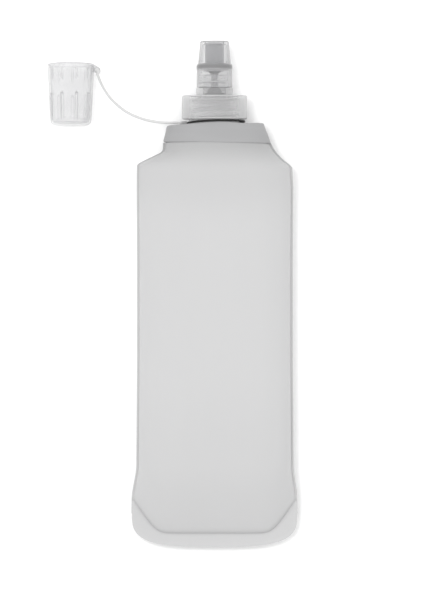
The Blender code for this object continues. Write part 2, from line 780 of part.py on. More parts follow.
def add_tip():
    """The domed tip that closes the mouthpiece's hole."""
    outline = [(0, TIP_TOP_Y)]
    arc_steps = 4
    for i in range(arc_steps + 1):
        angle = math.pi / 2 * (1 - i / arc_steps)
        radius = TIP_RADIUS - TIP_ROUNDING + TIP_ROUNDING * math.cos(angle)
        outline.append((radius, TIP_TOP_Y - TIP_ROUNDING + TIP_ROUNDING * math.sin(angle)))
    outline += [(TIP_RADIUS, DISC_TOP_Y + GAP), (0, DISC_TOP_Y + GAP)]
    look = material("valve_tip", (0.33, 0.33, 0.34), 0.45)
    turn(piece("valve_tip", profile("valve_tip", outline, False), look, neck_axis), FINE_STEPS)


def add_mouthpiece():
    """The clear sleeve that is pulled up to open: its top hole lifts off the valve's tip."""
    outline = [
        (MOUTHPIECE_HOLE, MOUTHPIECE_TOP_Y),
        (LIP_RADIUS - LIP_CHAMFER, MOUTHPIECE_TOP_Y),
        (LIP_RADIUS, MOUTHPIECE_TOP_Y - LIP_CHAMFER),
        (LIP_FOOT_RADIUS, LIP_FOOT_Y),
        (BEAD_SHOULDER_RADIUS, BEAD_TOP_Y),
        (BEAD_RADIUS, BEAD_TOP_Y - BEAD_ROUNDING),
        (BEAD_RADIUS, BEAD_LOW_Y),
        (SKIRT_TOP_RADIUS, BEAD_LOW_Y - BEAD_ROUNDING),
        (SKIRT_RADIUS, MOUTHPIECE_LOW_Y),
        (SKIRT_BORE, MOUTHPIECE_LOW_Y),
        (SKIRT_TOP_BORE, BEAD_TOP_Y - BEAD_ROUNDING / 2),
        (LIP_FOOT_BORE, LIP_FOOT_Y + BEAD_ROUNDING),
        (LIP_BORE, LIP_BORE_TOP_Y),
        (MOUTHPIECE_HOLE, MOUTHPIECE_TOP_Y - LIP_TOP_WALL),
    ]
    look = material("mouthpiece", (0.9, 0.9, 0.9), 0.08, 0.35, 0.6)
    turn(piece("mouthpiece", profile("mouthpiece", outline), look, neck_axis))


# ---------------------------------------------------------------- dust cap and tether

def solid_from(name, build):
    """A mesh named name, filled by build(shape)."""
    mesh = bpy.data.meshes.new(name)
    shape = bmesh.new()
    build(shape)
    shape.to_mesh(mesh)
    shape.free()
    return mesh


def cylinder(shape, radius, length, segments, matrix):
    bmesh.ops.create_cone(
        shape,
        cap_ends=True,
        segments=segments,
        radius1=radius,
        radius2=radius,
        depth=length,
        matrix=matrix,
    )


def dust_cap_section():
    """The cup's section from its inner floor, up the inside, over the rim and down the outside."""
    socket_radius = DUST_CAP_RIM_RADIUS - DUST_CAP_SOCKET_WALL
    socket_low = DUST_CAP_HEIGHT - DUST_CAP_SOCKET_DEPTH
    return [
        (0, DUST_CAP_FLOOR),
        (DUST_CAP_FLOOR_RADIUS, DUST_CAP_FLOOR),
        (DUST_CAP_BORE_FOOT_RADIUS, 2 * DUST_CAP_FLOOR),
        (socket_radius - DUST_CAP_SOCKET_STEP, socket_low - DUST_CAP_SOCKET_STEP),
        (socket_radius, socket_low),
        (socket_radius, DUST_CAP_HEIGHT),
        (DUST_CAP_RIM_RADIUS, DUST_CAP_HEIGHT),
        (DUST_CAP_FOOT_RADIUS, DUST_CAP_FOOT_HEIGHT),
        (DUST_CAP_FOOT_RADIUS - DUST_CAP_FOOT_ROUNDING / 2, DUST_CAP_FOOT_ROUNDING),
        (DUST_CAP_BASE_RADIUS, 0),
        (0, 0),
    ]


def dust_cap_ribs(shape):
    """Inner ribs under the rim, which grip the mouthpiece's bead."""
    there = Matrix.Translation((
        DUST_CAP_RIM_RADIUS - DUST_CAP_WALL - INNER_RIB_SIZE[0] / 3,
        0,
        DUST_CAP_HEIGHT - INNER_RIB_MIDDLE,
    ))
    for turned in dust_cap_turns():
        size = Matrix.Diagonal((*INNER_RIB_SIZE, 1))
        bmesh.ops.create_cube(shape, size=1, matrix=turned @ there @ size)


def dust_cap_flutes(shape):
    """Grip flutes on the lower half, parallel to the tapered wall."""
    climb = DUST_CAP_HEIGHT - DUST_CAP_FOOT_HEIGHT
    slope = math.atan((DUST_CAP_RIM_RADIUS - DUST_CAP_FOOT_RADIUS) / climb)
    wall_radius = DUST_CAP_FOOT_RADIUS + (FLUTE_MIDDLE - DUST_CAP_FOOT_HEIGHT) * math.tan(slope)
    there = Matrix.Translation((wall_radius + FLUTE_RADIUS - FLUTE_DEPTH, 0, FLUTE_MIDDLE))
    lean = Matrix.Rotation(slope, 4, "Y")
    for turned in dust_cap_turns():
        cylinder(shape, FLUTE_RADIUS, FLUTE_LENGTH, FLUTE_STEPS, turned @ there @ lean)


def dust_cap_turns():
    pitch = 2 * math.pi / DUST_CAP_FLUTES
    return [
        Matrix.Rotation(pitch * i - DUST_CAP_FLUTE_PHASE, 4, "Z") for i in range(DUST_CAP_FLUTES)
    ]


def add_dust_cap():
    """The open dust cap, mouth along +Y, with grip flutes, inner ribs and a lug for the toggle."""
    look = material("dust_cap", (0.93, 0.93, 0.93), 0.1, 0.3, 0.6)
    offset = Vector((DUST_CAP_X, DUST_CAP_LOW_Y, 0)) - Vector((*TOGGLE, 0))
    upright = (-math.pi / 2, 0, 0)
    section = profile("dust_cap", dust_cap_section(), False)
    cap = piece("dust_cap", section, look, toggle_hinge, offset, upright)
    turn(cap)

    eye = Matrix.Translation((-offset.x, 0, -offset.y)) @ Matrix.Rotation(math.pi / 2, 4, "X")
    bridge_low = DUST_CAP_RIM_RADIUS - LUG_BRIDGE_OVERLAP
    bridge_thickness = 2 * LUG_BRIDGE_THINNER * LUG_HALF_THICKNESS

    def lug(shape):
        cylinder(shape, LUG_RADIUS, 2 * LUG_HALF_THICKNESS, COARSE_STEPS, eye)

    def hole(shape):
        cylinder(shape, LUG_HOLE, 6 * LUG_HALF_THICKNESS, COARSE_STEPS, eye)

    def bridge(shape):
        length = -offset.x - bridge_low
        size = Matrix.Diagonal((length, bridge_thickness, LUG_BRIDGE_WIDTH, 1))
        there = Matrix.Translation((bridge_low + length / 2, 0, -offset.y))
        bmesh.ops.create_cube(shape, size=1, matrix=there @ size)

    for name, build, operation in (
        ("cap_ribs", dust_cap_ribs, "UNION"),
        ("cap_flutes", dust_cap_flutes, "DIFFERENCE"),
        ("cap_lug_bridge", bridge, "UNION"),
        ("cap_lug", lug, "UNION"),
        ("cap_lug_hole", hole, "DIFFERENCE"),
    ):
        tool = cutter(name, solid_from(name, build), toggle_hinge)
        tool.location = offset
        tool.rotation_euler = upright
        boolean(cap, tool, operation)


def add_tether_ring():
    """The ring that turns round the neck, with the stub that the strap leaves from."""
    outline = ring(
        NECK_RADIUS + GAP, RING_RADIUS, TETHER_RING_LOW_Y, TETHER_RING_TOP_Y, RING_CHAMFER
    )
    look = material("tether_ring", (0.85, 0.85, 0.85), 0.35, 0.7)
    turned = piece("tether_ring", profile("tether_ring", outline), look, neck_axis)
    turned.rotation_euler = (0, 0, -TETHER_TILT)
    turn(turned)
    stub = bpy.data.meshes.new("ring_stub")
    shape = bmesh.new()
    stub_end = -TETHER_ROOT.x - GAP
    stub_start = RING_RADIUS - RING_STUB_OVERLAP
    middle_y = (TETHER_RING_LOW_Y + TETHER_RING_TOP_Y) / 2
    size = Matrix.Diagonal((stub_end - stub_start, RING_STUB_WIDTH, RING_STUB_THICKNESS, 1))
    there = Matrix.Translation((-(stub_end + stub_start) / 2, 0, middle_y))
    bmesh.ops.create_cube(shape, size=1, matrix=there @ size)
    shape.to_mesh(stub)
    shape.free()
    tool = cutter("ring_stub", stub, neck_axis)
    tool.rotation_euler = (0, 0, -TETHER_TILT)
    boolean(turned, tool, "UNION")


def smooth_route(knots, step):
    """Points about step apart on a smooth curve through the knots."""
    knots = [Vector(k) * MM for k in knots]
    points = []
    for i in range(len(knots) - 1):
        before = knots[max(i - 1, 0)]
        start, end = knots[i], knots[i + 1]
        after = knots[min(i + 2, len(knots) - 1)]
        pieces = max(1, round((end - start).length / step))
        for k in range(pieces):
            t = k / pieces
            points.append(
                0.5
                * (
                    2 * start
                    + (end - before) * t
                    + (2 * before - 5 * start + 4 * end - after) * t * t
                    + (3 * start - before - 3 * end + after) * t ** 3
                )
            )
    points.append(knots[-1])
    return points


def add_strap():
    """The strap's two halves, which meet at the bend hinge, and the toggle in the cap's lug."""
    points = smooth_route(TETHER_ROUTE, TETHER_STEP)
    bend = min(range(len(points)), key=lambda i: (points[i].xy - TETHER_BEND).length)
    for name, run, hinge in (
        ("tether_strap_inner", points[: bend + 1], root_hinge),
        ("tether_strap_outer", points[bend:], bend_hinge),
    ):
        run = [point.copy() for point in run]
        trim = 0.5 * GAP
        if hinge is root_hinge:
            run[-1] += (run[-2] - run[-1]).normalized() * trim
        else:
            run[0] += (run[1] - run[0]).normalized() * trim
        local = [point - hinge.location for point in run]
        look = material(name, (0.85, 0.85, 0.85), 0.4, 0.8)
        curve = tube_curve(name, local, TETHER_RADIUS, 2)
        strap = bpy.data.objects.new(name, curve)
        flask.objects.link(strap)
        strap.parent = hinge
        curve.materials.append(look)

    pin_radius = LUG_HOLE - GAP
    head_low = TOGGLE_HEAD_HEIGHT - TOGGLE_HEAD_HALF
    flange_y = -LUG_HALF_THICKNESS - GAP
    outline = [
        (0, TOGGLE_HEAD_HEIGHT + TOGGLE_HEAD_HALF),
        (TOGGLE_HEAD_RADIUS - TOGGLE_CHAMFER, TOGGLE_HEAD_HEIGHT + TOGGLE_HEAD_HALF),
        (TOGGLE_HEAD_RADIUS, TOGGLE_HEAD_HEIGHT),
        (TOGGLE_HEAD_RADIUS, head_low),
        (pin_radius, head_low),
        (pin_radius, flange_y),
        (TOGGLE_HEAD_RADIUS, flange_y),
        (pin_radius, flange_y - 2 * TOGGLE_HEAD_HALF),
        (0, flange_y - 2 * TOGGLE_HEAD_HALF),
    ]
    look = material("tether_toggle", (0.82, 0.82, 0.82), 0.4, 0.8)
    toggle = piece("tether_toggle", profile("tether_toggle", outline, False), look, toggle_hinge)
    turn(toggle, TOGGLE_STEPS)


add_collar()
add_neck()
add_gasket()
add_screw_cap()
add_liner()
add_nozzle_base()
add_mouthpiece_seal()
add_stem()
add_disc()
add_tip()
add_mouthpiece()
add_dust_cap()
add_tether_ring()
add_strap()
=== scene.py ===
"""Looks of the soft folding water flask: fine meshes and materials round the CAD frame.

Frame: metres, +Y up the bottle, +X right, +Z away from the surface that it lies on.
"""
import math

import bmesh
import bpy
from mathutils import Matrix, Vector, noise


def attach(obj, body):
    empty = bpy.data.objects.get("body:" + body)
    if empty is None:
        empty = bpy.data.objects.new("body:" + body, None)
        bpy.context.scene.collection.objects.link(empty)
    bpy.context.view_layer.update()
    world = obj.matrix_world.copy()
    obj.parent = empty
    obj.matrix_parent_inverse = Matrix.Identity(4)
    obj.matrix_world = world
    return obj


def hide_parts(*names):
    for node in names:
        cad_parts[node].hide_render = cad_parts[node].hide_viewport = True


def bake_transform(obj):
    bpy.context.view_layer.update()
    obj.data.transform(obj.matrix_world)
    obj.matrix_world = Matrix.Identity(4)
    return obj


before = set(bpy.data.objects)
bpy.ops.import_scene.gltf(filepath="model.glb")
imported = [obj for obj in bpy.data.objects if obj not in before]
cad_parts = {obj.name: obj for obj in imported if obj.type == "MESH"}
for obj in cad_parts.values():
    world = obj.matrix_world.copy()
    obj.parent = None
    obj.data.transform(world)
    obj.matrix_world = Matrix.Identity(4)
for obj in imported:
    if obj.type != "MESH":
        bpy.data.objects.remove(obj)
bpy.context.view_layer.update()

# All sizes below are in millimetres; add_piece turns them into metres.
MM = 0.001

# The neck's axis is parallel to Y at this height. The tether lies in a plane that tilts about it,
# down to the middle of the dust cap, which rests on the floor.
AXIS = 16.5
DUST_X = -72.0
DUST_DROP = 4.5
TETHER_TILT = math.asin(DUST_DROP / abs(DUST_X))
SEGMENTS = 96
SHARP_DEGREES = 32.0

pieces = bpy.data.collections.new("flask_visual")
bpy.context.scene.collection.children.link(pieces)


# ---------------------------------------------------------------- camera

CAMERA_CENTRE = (-1.75, 22.0)
CAMERA_DISTANCE = 3000.0
CAMERA_LENS = 360.0
CAMERA_SENSOR = 36.0
CAMERA_REACH = (0.05, 20.0)
lens = bpy.data.cameras.new("camera")
lens.lens = CAMERA_LENS
lens.sensor_width = CAMERA_SENSOR
lens.clip_start, lens.clip_end = CAMERA_REACH
camera = bpy.data.objects.new("camera", lens)
camera.location = (
    CAMERA_CENTRE[0] * MM, CAMERA_CENTRE[1] * MM, (CAMERA_DISTANCE + AXIS) * MM
)
bpy.context.scene.collection.objects.link(camera)
bpy.context.scene.camera = camera
bpy.context.scene.view_settings.view_transform = "Standard"


# ---------------------------------------------------------------- small tools

def smooth(value, low, high):
    """0 below low, 1 above high and an even curve between them."""
    share = min(max((value - low) / (high - low), 0.0), 1.0)
    return share * share * (3 - 2 * share)


def mix(a, b, share):
    """The value that lies a share of the way from a to b."""
    return a + (b - a) * share


def around_neck(radius, angle, height):
    """A point at a radius and angle round the neck's axis, in millimetres."""
    return Vector((radius * math.cos(angle), height, AXIS - radius * math.sin(angle)))


def in_tether_plane(x, y, above=0.0):
    """A point of the tether's plane: x from the neck's axis, and above square to the plane."""
    cos = math.cos(TETHER_TILT)
    sin = math.sin(TETHER_TILT)
    return Vector((x * cos - above * sin, y, AXIS + x * sin + above * cos))


def add_piece(name, shape, look, density_and_painted_shade=None):
    """Turns a bmesh in millimetres into a finished object in metres. The last argument gives, for
    a point, from 0 to 1, how opaque and dark the plastic reads there: partly its own thickness,
    partly painted dark edges and painted shade."""
    bmesh.ops.recalc_face_normals(shape, faces=shape.faces)
    if density_and_painted_shade:
        layer = shape.verts.layers.float.new("density_and_painted_shade")
        for vertex in shape.verts:
            vertex[layer] = density_and_painted_shade(vertex.co)
    bmesh.ops.scale(shape, vec=(MM, MM, MM), verts=shape.verts)
    mesh = bpy.data.meshes.new(name)
    shape.to_mesh(mesh)
    shape.free()
    mesh.materials.append(look)
    mesh.shade_smooth()
    mesh.set_sharp_from_angle(angle=math.radians(SHARP_DEGREES))
    made = bpy.data.objects.new(name, mesh)
    pieces.objects.link(made)
    return made


def skin_rings(shape, rings, close_loop=False, cap_start=False, cap_end=False):
    """Joins rings of points, each a list of the same length, into a skin."""
    made = [[shape.verts.new(point) for point in ring] for ring in rings]
    count = len(made[0])
    pairs = list(zip(made[:-1], made[1:]))
    if close_loop:
        pairs.append((made[-1], made[0]))
    for low, high in pairs:
        for i in range(count):
            k = (i + 1) % count
            shape.faces.new((low[i], low[k], high[k], high[i]))
    if cap_start:
        fan(shape, made[0])
    if cap_end:
        fan(shape, made[-1])
    return made


def fan(shape, ring):
    """Closes a ring with triangles about its middle."""
    middle = sum((v.co for v in ring), Vector()) / len(ring)
    hub = shape.verts.new(middle)
    for i in range(len(ring)):
        shape.faces.new((ring[i], ring[(i + 1) % len(ring)], hub))


# A corner takes this share of its shorter side at most, and is left sharp below the least fillet.
FILLET_SHARE = 0.45
LEAST_FILLET = 0.02


def fillet(points, radius, closed=True, steps=3):
    """Rounds the corners of a profile of (radius, height) or (radius, height, own fillet)."""
    result = []
    count = len(points)
    for i in range(count):
        here = Vector(points[i][:2])
        size = points[i][2] if len(points[i]) > 2 else radius
        if not closed and i in (0, count - 1):
            result.append(tuple(here))
            continue
        before = Vector(points[(i - 1) % count][:2])
        after = Vector(points[(i + 1) % count][:2])
        back = before - here
        ahead = after - here
        reach = min(size, FILLET_SHARE * back.length, FILLET_SHARE * ahead.length)
        if reach < LEAST_FILLET:
            result.append(tuple(here))
            continue
        start = here + back.normalized() * reach
        end = here + ahead.normalized() * reach
        for k in range(steps + 1):
            t = k / steps
            point = start * (1 - t) ** 2 + here * 2 * t * (1 - t) + end * t * t
            result.append(tuple(point))
    return result


def refine(outline, step=0.4):
    """Cuts the long sides of a closed profile, so that a density can change along them."""
    result = []
    for i in range(len(outline)):
        start = Vector(outline[i])
        end = Vector(outline[(i + 1) % len(outline)])
        parts = max(1, math.ceil((end - start).length / step))
        result += [tuple(start.lerp(end, k / parts)) for k in range(parts)]
    return result


def lines_at(*lines):
    """Painted dark lines round the neck's axis, where clear plastic shows dark edges, given as
    density: (y, half width, density) each.
    """
    def density_and_painted_shade(point):
        return max(value * (1 - smooth(abs(point.y - y), half * 0.6, half * 1.2))
                   for y, half, value in lines)
    return density_and_painted_shade


# The ends of an open profile stay this far off the axis.
LEAST_RADIUS = 0.02


def lathe(shape, outline, closed=True, segments=SEGMENTS, place=around_neck):
    """Turns a profile about the neck's axis; an open profile ends on the axis at both ends."""
    rings = []
    for radius, height in outline:
        rings.append([place(max(radius, LEAST_RADIUS), 2 * math.pi * i / segments, height)
                      for i in range(segments)])
    skin_rings(shape, rings, close_loop=closed, cap_start=not closed, cap_end=not closed)


def tube(shape, points, radii, sides, flat=1.0):
    """A closed tube through points, with a radius at each; flat is its height over its width."""
    rings = []
    normal = Vector((0, 0, 1))
    for i, point in enumerate(points):
        ahead = points[min(i + 1, len(points) - 1)] - points[max(i - 1, 0)]
        along = ahead.normalized()
        side = along.cross(normal).normalized()
        up = side.cross(along).normalized()
        ring = []
        for k in range(sides):
            angle = 2 * math.pi * k / sides
            ring.append(point + side * radii[i] * math.cos(angle)
                        + up * radii[i] * flat * math.sin(angle))
        rings.append(ring)
    skin_rings(shape, rings, cap_start=True, cap_end=True)


# The neck's thread and the cap's: a rounded ridge of one and a quarter turns, with tapered ends.
THREAD_TURNS = 1.25
THREAD_LOW_Y = 113.9
THREAD_PITCH = 4.0
THREAD_RADIUS = 1.15
THREAD_TAPER = 0.12
THREAD_END_SHARE = 0.25
THREAD_STEPS = 72
THREAD_SIDES = 10


def helix(shape, centre, first_turn):
    """A right-hand thread ridge about the neck's axis, centre away from it."""
    count = round(THREAD_TURNS * THREAD_STEPS)
    rings = []
    for i in range(count + 1):
        share = i / count
        swell = min(share, 1 - share) / THREAD_TAPER
        radius = THREAD_RADIUS * mix(THREAD_END_SHARE, 1.0, smooth(swell, 0.0, 1.0))
        turned = i / THREAD_STEPS
        angle = 2 * math.pi * (first_turn + turned)
        height = THREAD_LOW_Y + THREAD_PITCH * turned
        ring = []
        for k in range(THREAD_SIDES):
            around = 2 * math.pi * k / THREAD_SIDES
            ring.append(around_neck(centre + radius * math.cos(around), angle,
                                    height + radius * math.sin(around)))
        rings.append(ring)
    skin_rings(shape, rings, cap_start=True, cap_end=True)


def catmull(knots, step):
    """Points about step apart on a smooth curve through the knots."""
    points = []
    for i in range(len(knots) - 1):
        before = knots[max(i - 1, 0)]
        start, end = knots[i], knots[i + 1]
        after = knots[min(i + 2, len(knots) - 1)]
        parts = max(1, round((end - start).length / step))
        for k in range(parts):
            t = k / parts
            points.append(0.5 * (2 * start + (end - before) * t
                                 + (2 * before - 5 * start + 4 * end - after) * t * t
                                 + (3 * start - before - 3 * end + after) * t ** 3))
    points.append(knots[-1].copy())
    return points


# ---------------------------------------------------------------- materials

def node(tree, kind, **values):
    """A new node of a material, with its settings."""
    made = tree.nodes.new(kind)
    for key, value in values.items():
        setattr(made, key, value)
    return made


PLASTIC_IOR = 1.46
# Where the noise starts and stops to change the colour, and how far the roughness strays.
MOTTLE_RANGE = (0.3, 0.7)
SMOOTHEST = 0.85
ROUGHEST = 1.2
GRAIN_DEPTH = 0.0002


def plastic(name, colour, roughness, alpha=1.0, edge_alpha=None, edge_shade=1.0, edge_power=1.5,
            mottle=0.03, mottle_scale=60.0, grain=0.05, grain_scale=900.0, stretch=(1, 1, 1),
            shade_attribute=None):
    """Moulded or blown plastic: mottled colour, uneven roughness and fine surface grain; a
    shade_attribute multiplies the colour by painted shade kept on the mesh. Where it is thin and
    clear, the alpha and colour change to edge_alpha and edge_shade towards its edges and wherever
    the mesh's per-point attribute says so, which paints dark edge lines and shade."""
    look = bpy.data.materials.new(name)
    look.use_nodes = True
    tree = look.node_tree
    shader = tree.nodes["Principled BSDF"]
    shader.inputs["IOR"].default_value = PLASTIC_IOR
    place = node(tree, "ShaderNodeTexCoord")
    scaled = node(tree, "ShaderNodeMapping")
    scaled.inputs["Scale"].default_value = stretch
    tree.links.new(place.outputs["Object"], scaled.inputs["Vector"])

    clouds = node(tree, "ShaderNodeTexNoise")
    clouds.inputs["Scale"].default_value = mottle_scale
    clouds.inputs["Detail"].default_value = 4.0
    tree.links.new(scaled.outputs["Vector"], clouds.inputs["Vector"])
    tint = node(tree, "ShaderNodeValToRGB")
    dark = [max(c * (1 - mottle), 0) for c in colour]
    pale = [min(c * (1 + mottle), 1) for c in colour]
    for stop, position, tone in zip(tint.color_ramp.elements, MOTTLE_RANGE, (dark, pale)):
        stop.position = position
        stop.color = (*tone, 1)
    tree.links.new(clouds.outputs["Fac"], tint.inputs["Fac"])
    colour_out = tint.outputs["Color"]

    if shade_attribute:
        shade = node(tree, "ShaderNodeAttribute", attribute_name=shade_attribute)
        darker = node(tree, "ShaderNodeMix", data_type="RGBA", blend_type="MULTIPLY")
        darker.inputs["Factor"].default_value = 1.0
        tree.links.new(colour_out, darker.inputs["A"])
        tree.links.new(shade.outputs["Color"], darker.inputs["B"])
        colour_out = darker.outputs["Result"]

    if edge_alpha is None:
        shader.inputs["Alpha"].default_value = alpha
    else:
        weight = node(tree, "ShaderNodeLayerWeight")
        weight.inputs["Blend"].default_value = 0.5
        grazing = node(tree, "ShaderNodeMath", operation="POWER")
        grazing.inputs[1].default_value = edge_power
        tree.links.new(weight.outputs["Facing"], grazing.inputs[0])
        # Painted dark edges and painted shade, kept on the mesh's points.
        density_and_painted_shade = node(tree, "ShaderNodeAttribute", attribute_name="density_and_painted_shade")
        facing = node(tree, "ShaderNodeMath", operation="MAXIMUM")
        tree.links.new(grazing.outputs[0], facing.inputs[0])
        tree.links.new(density_and_painted_shade.outputs["Fac"], facing.inputs[1])
        if edge_shade != 1.0:
            rim = node(tree, "ShaderNodeMix", data_type="RGBA", blend_type="MIX")
            rim.inputs["B"].default_value = (*[c * edge_shade for c in colour], 1)
            tree.links.new(facing.outputs[0], rim.inputs["Factor"])
            tree.links.new(colour_out, rim.inputs["A"])
            colour_out = rim.outputs["Result"]
        density = node(tree, "ShaderNodeMapRange")
        density.inputs["To Min"].default_value = alpha
        density.inputs["To Max"].default_value = edge_alpha
        tree.links.new(facing.outputs[0], density.inputs["Value"])
        tree.links.new(density.outputs["Result"], shader.inputs["Alpha"])
    tree.links.new(colour_out, shader.inputs["Base Color"])

    worn = node(tree, "ShaderNodeTexNoise")
    worn.inputs["Scale"].default_value = mottle_scale * 3
    worn.inputs["Detail"].default_value = 3.0
    tree.links.new(scaled.outputs["Vector"], worn.inputs["Vector"])
    gloss = node(tree, "ShaderNodeMapRange")
    gloss.inputs["To Min"].default_value = roughness * SMOOTHEST
    gloss.inputs["To Max"].default_value = min(roughness * ROUGHEST, 1.0)
    tree.links.new(worn.outputs["Fac"], gloss.inputs["Value"])
    tree.links.new(gloss.outputs["Result"], shader.inputs["Roughness"])

    fine = node(tree, "ShaderNodeTexNoise")
    fine.inputs["Scale"].default_value = grain_scale
    fine.inputs["Detail"].default_value = 2.0
    tree.links.new(scaled.outputs["Vector"], fine.inputs["Vector"])
    bump = node(tree, "ShaderNodeBump")
    bump.inputs["Strength"].default_value = grain
    bump.inputs["Distance"].default_value = GRAIN_DEPTH
    tree.links.new(fine.outputs["Fac"], bump.inputs["Height"])
    tree.links.new(bump.outputs["Normal"], shader.inputs["Normal"])
    return look


# The film's colour is multiplied by the painted shade kept on its points.
film_look = plastic("frosted_film", (0.575, 0.575, 0.578), 0.5, alpha=0.8, edge_alpha=0.95,
                    mottle=0.012, mottle_scale=22.0, stretch=(1.0, 0.22, 1.0), grain=0.03,
                    grain_scale=700.0, shade_attribute="shade")
collar_look = plastic("satin_collar", (0.325, 0.325, 0.33), 0.5, alpha=0.95, mottle=0.045,
                      mottle_scale=90.0, stretch=(0.2, 1.4, 0.5), grain=0.04)
neck_look = plastic("neck_plastic", (0.76, 0.76, 0.77), 0.35, alpha=0.14, edge_alpha=0.6,
                    edge_shade=0.8)
gasket_look = plastic("gasket_rubber", (0.01, 0.01, 0.01), 0.6, mottle=0.2, grain=0.1)
cap_look = plastic("screw_cap_plastic", (0.74, 0.74, 0.745), 0.42, alpha=0.2, edge_alpha=0.8,
                   edge_shade=0.75, mottle=0.03, grain=0.02)
liner_look = plastic("liner_foam", (0.45, 0.45, 0.445), 0.7, alpha=0.4, mottle=0.06, grain=0.15)
nozzle_look = plastic("nozzle_plastic", (0.85, 0.85, 0.86), 0.2, alpha=0.14, edge_alpha=0.5,
                      edge_shade=0.25, grain=0.01, edge_power=2.2)
seal_look = plastic("seal_silicone", (0.47, 0.47, 0.475), 0.4)
stem_look = plastic("stem_plastic", (0.05, 0.051, 0.054), 0.5, mottle=0.04, grain=0.05)
valve_look = plastic("valve_silicone", (0.185, 0.187, 0.195), 0.5, mottle=0.04, grain=0.05)
disc_look = plastic("disc_silicone", (0.15, 0.152, 0.158), 0.5, mottle=0.04, grain=0.05)
sleeve_look = plastic("clear_sleeve", (0.82, 0.82, 0.83), 0.1, alpha=0.11, edge_alpha=0.95,
                      edge_shade=0.15, mottle=0.01, grain=0.005, edge_power=1.6)
dust_look = plastic("clear_dust_cap", (0.7, 0.7, 0.71), 0.12, alpha=0.165, edge_alpha=0.8,
                    edge_shade=0.5, mottle=0.01, grain=0.005, edge_power=2.6)
tether_look = plastic("tether_plastic", (0.62, 0.62, 0.62), 0.5, alpha=0.9, edge_alpha=1.0,
                      edge_shade=0.6, mottle=0.03, grain=0.03)


# ---------------------------------------------------------------- tether strap, a short cord

# Points of the strap: x and y in the tether's plane, and how far above it.
ROUTE = (
    (-18.2, 110.65, 0.0), (-24.8, 110.7, -0.9), (-31.8, 111.6, -2.2), (-38.0, 113.3, -3.0),
    (-44.0, 116.0, -3.1), (-49.0, 119.7, -2.5), (-53.0, 123.9, -1.5), (-56.2, 129.0, -0.1),
    (-58.0, 133.2, 1.2), (-58.7, 135.4, 1.7),
)
BEND = ROUTE[4][:2]
BEFORE_BEND = ROUTE[3][:2]
AFTER_BEND = ROUTE[5][:2]
TOGGLE = (-58.8, 137.2)
STRAP_RADIUS = 0.6
ROUTE_STEP = 0.9

route = catmull([in_tether_plane(*knot) for knot in ROUTE], ROUTE_STEP)
strap_length = sum((b - a).length for a, b in zip(route[:-1], route[1:]))

strap_shape = bmesh.new()
tube(strap_shape, route, [STRAP_RADIUS] * len(route), sides=14)
strap = add_piece("tether_strap", strap_shape, tether_look)
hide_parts("tether_strap_inner", "tether_strap_outer")

# The toggle: a barbed end pushed through the lug, flat on its upper side.
toggle_shape = bmesh.new()


def on_toggle(x, y, above):
    """A point by its place from the toggle's pin, in the tether's plane."""
    return in_tether_plane(TOGGLE[0] + x, TOGGLE[1] + y, above)


def on_toggle_axis(radius, angle, height):
    """A point at a radius and angle round the toggle's pin."""
    return on_toggle(radius * math.cos(angle), radius * math.sin(angle), height)


pin_outline = fillet([
    (0, 2.3), (0.9, 2.3), (1.15, 1.7), (1.15, 1.1), (0.68, 1.1), (0.68, -1.1), (1.45, -1.1),
    (0.75, -2.3), (0, -2.3),
], 0.15, closed=False)
lathe(toggle_shape, pin_outline, closed=False, segments=32, place=on_toggle_axis)
BARB = ((-0.8, 0.8), (0.1, 0.9), (1.9, -0.5), (0.9, -2.4), (0.5, -2.5), (-0.2, -1.2), (-0.8, -0.5))
BARB_MIDDLE = Vector((0.3, -0.7))
BARB_LAYERS = ((0.25, 1.15), (0.0, 1.35), (0.0, 2.0), (0.25, 2.25))
rings = []
for inset, above in BARB_LAYERS:
    ring = []
    for x, y in BARB:
        corner = Vector((x, y))
        corner += (BARB_MIDDLE - corner).normalized() * inset
        ring.append(on_toggle(corner.x, corner.y, above))
    rings.append(ring)
skin_rings(toggle_shape, rings, cap_start=True, cap_end=True)
toggle = add_piece("tether_barb", toggle_shape, tether_look)
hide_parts("tether_toggle")
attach(toggle, "strap_outer")

bend_point = in_tether_plane(*BEND)
bend_along = (in_tether_plane(*AFTER_BEND) - in_tether_plane(*BEFORE_BEND)).normalized()
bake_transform(strap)


# ---------------------------------------------------------------- bag films

FILM = 0.5
WELD_GAP = 0.3
HEM_Y = -101.8
HEM_CORNER_Y = -85.0
HEM_HALF = 41.4
HEM_POWER = 3.3
HEM_END_REACH = 0.2
HEM_END_RISE = 1.5
WELD_Y = -95.0
WELD_HALF = 40.3
WELD_CORNER_X = 29.2
WELD_CORNER_SLOPE = 1.5
WELD_CORNER_SOFTNESS = 2.0
WELD_FLARE = 18.0
SEAM = 1.2
SEAM_Z = 14.0
SEAM_NECK_RISE = 2.5
SEAM_HEM_FALL = 6.0
MOUTH_Y = 100.6
# The pocket swells up from the bottom weld over this length, on a curve with these two powers.
BOTTOM_TAPER = 34.0
BOTTOM_POWER = 2.2
BOTTOM_ROUNDNESS = 0.75
# The groove along the bottom weld: its depth, its share of the hem, and the shade in it.
GROOVE_DEPTH = 0.12
GROOVE_SHARE = 0.12
GROOVE_SHADE = 0.14
GROOVE_SHADE_SHARE = 0.1


def weld_line(s):
    """A point on the bottom weld: straight in the middle, cut off at an angle at both corners."""
    x = WELD_HALF * s
    past = (abs(x) - WELD_CORNER_X) / WELD_CORNER_SOFTNESS
    rise = WELD_CORNER_SLOPE * WELD_CORNER_SOFTNESS * math.log1p(math.exp(past))
    return x, WELD_Y + rise


def seam_height(y):
    """Height of the side seams: they rise to the neck's axis and fall towards the hem."""
    return SEAM_Z + SEAM_NECK_RISE * smooth(y, 55, 95) - SEAM_HEM_FALL * smooth(-y, 60, 100)


def knotted(y, knots):
    """A piecewise linear value through (y, value) knots."""
    for (y0, v0), (y1, v1) in zip(knots[:-1], knots[1:]):
        if y <= y1:
            return mix(v0, v1, min(max((y - y0) / (y1 - y0), 0), 1))
    return knots[-1][1]


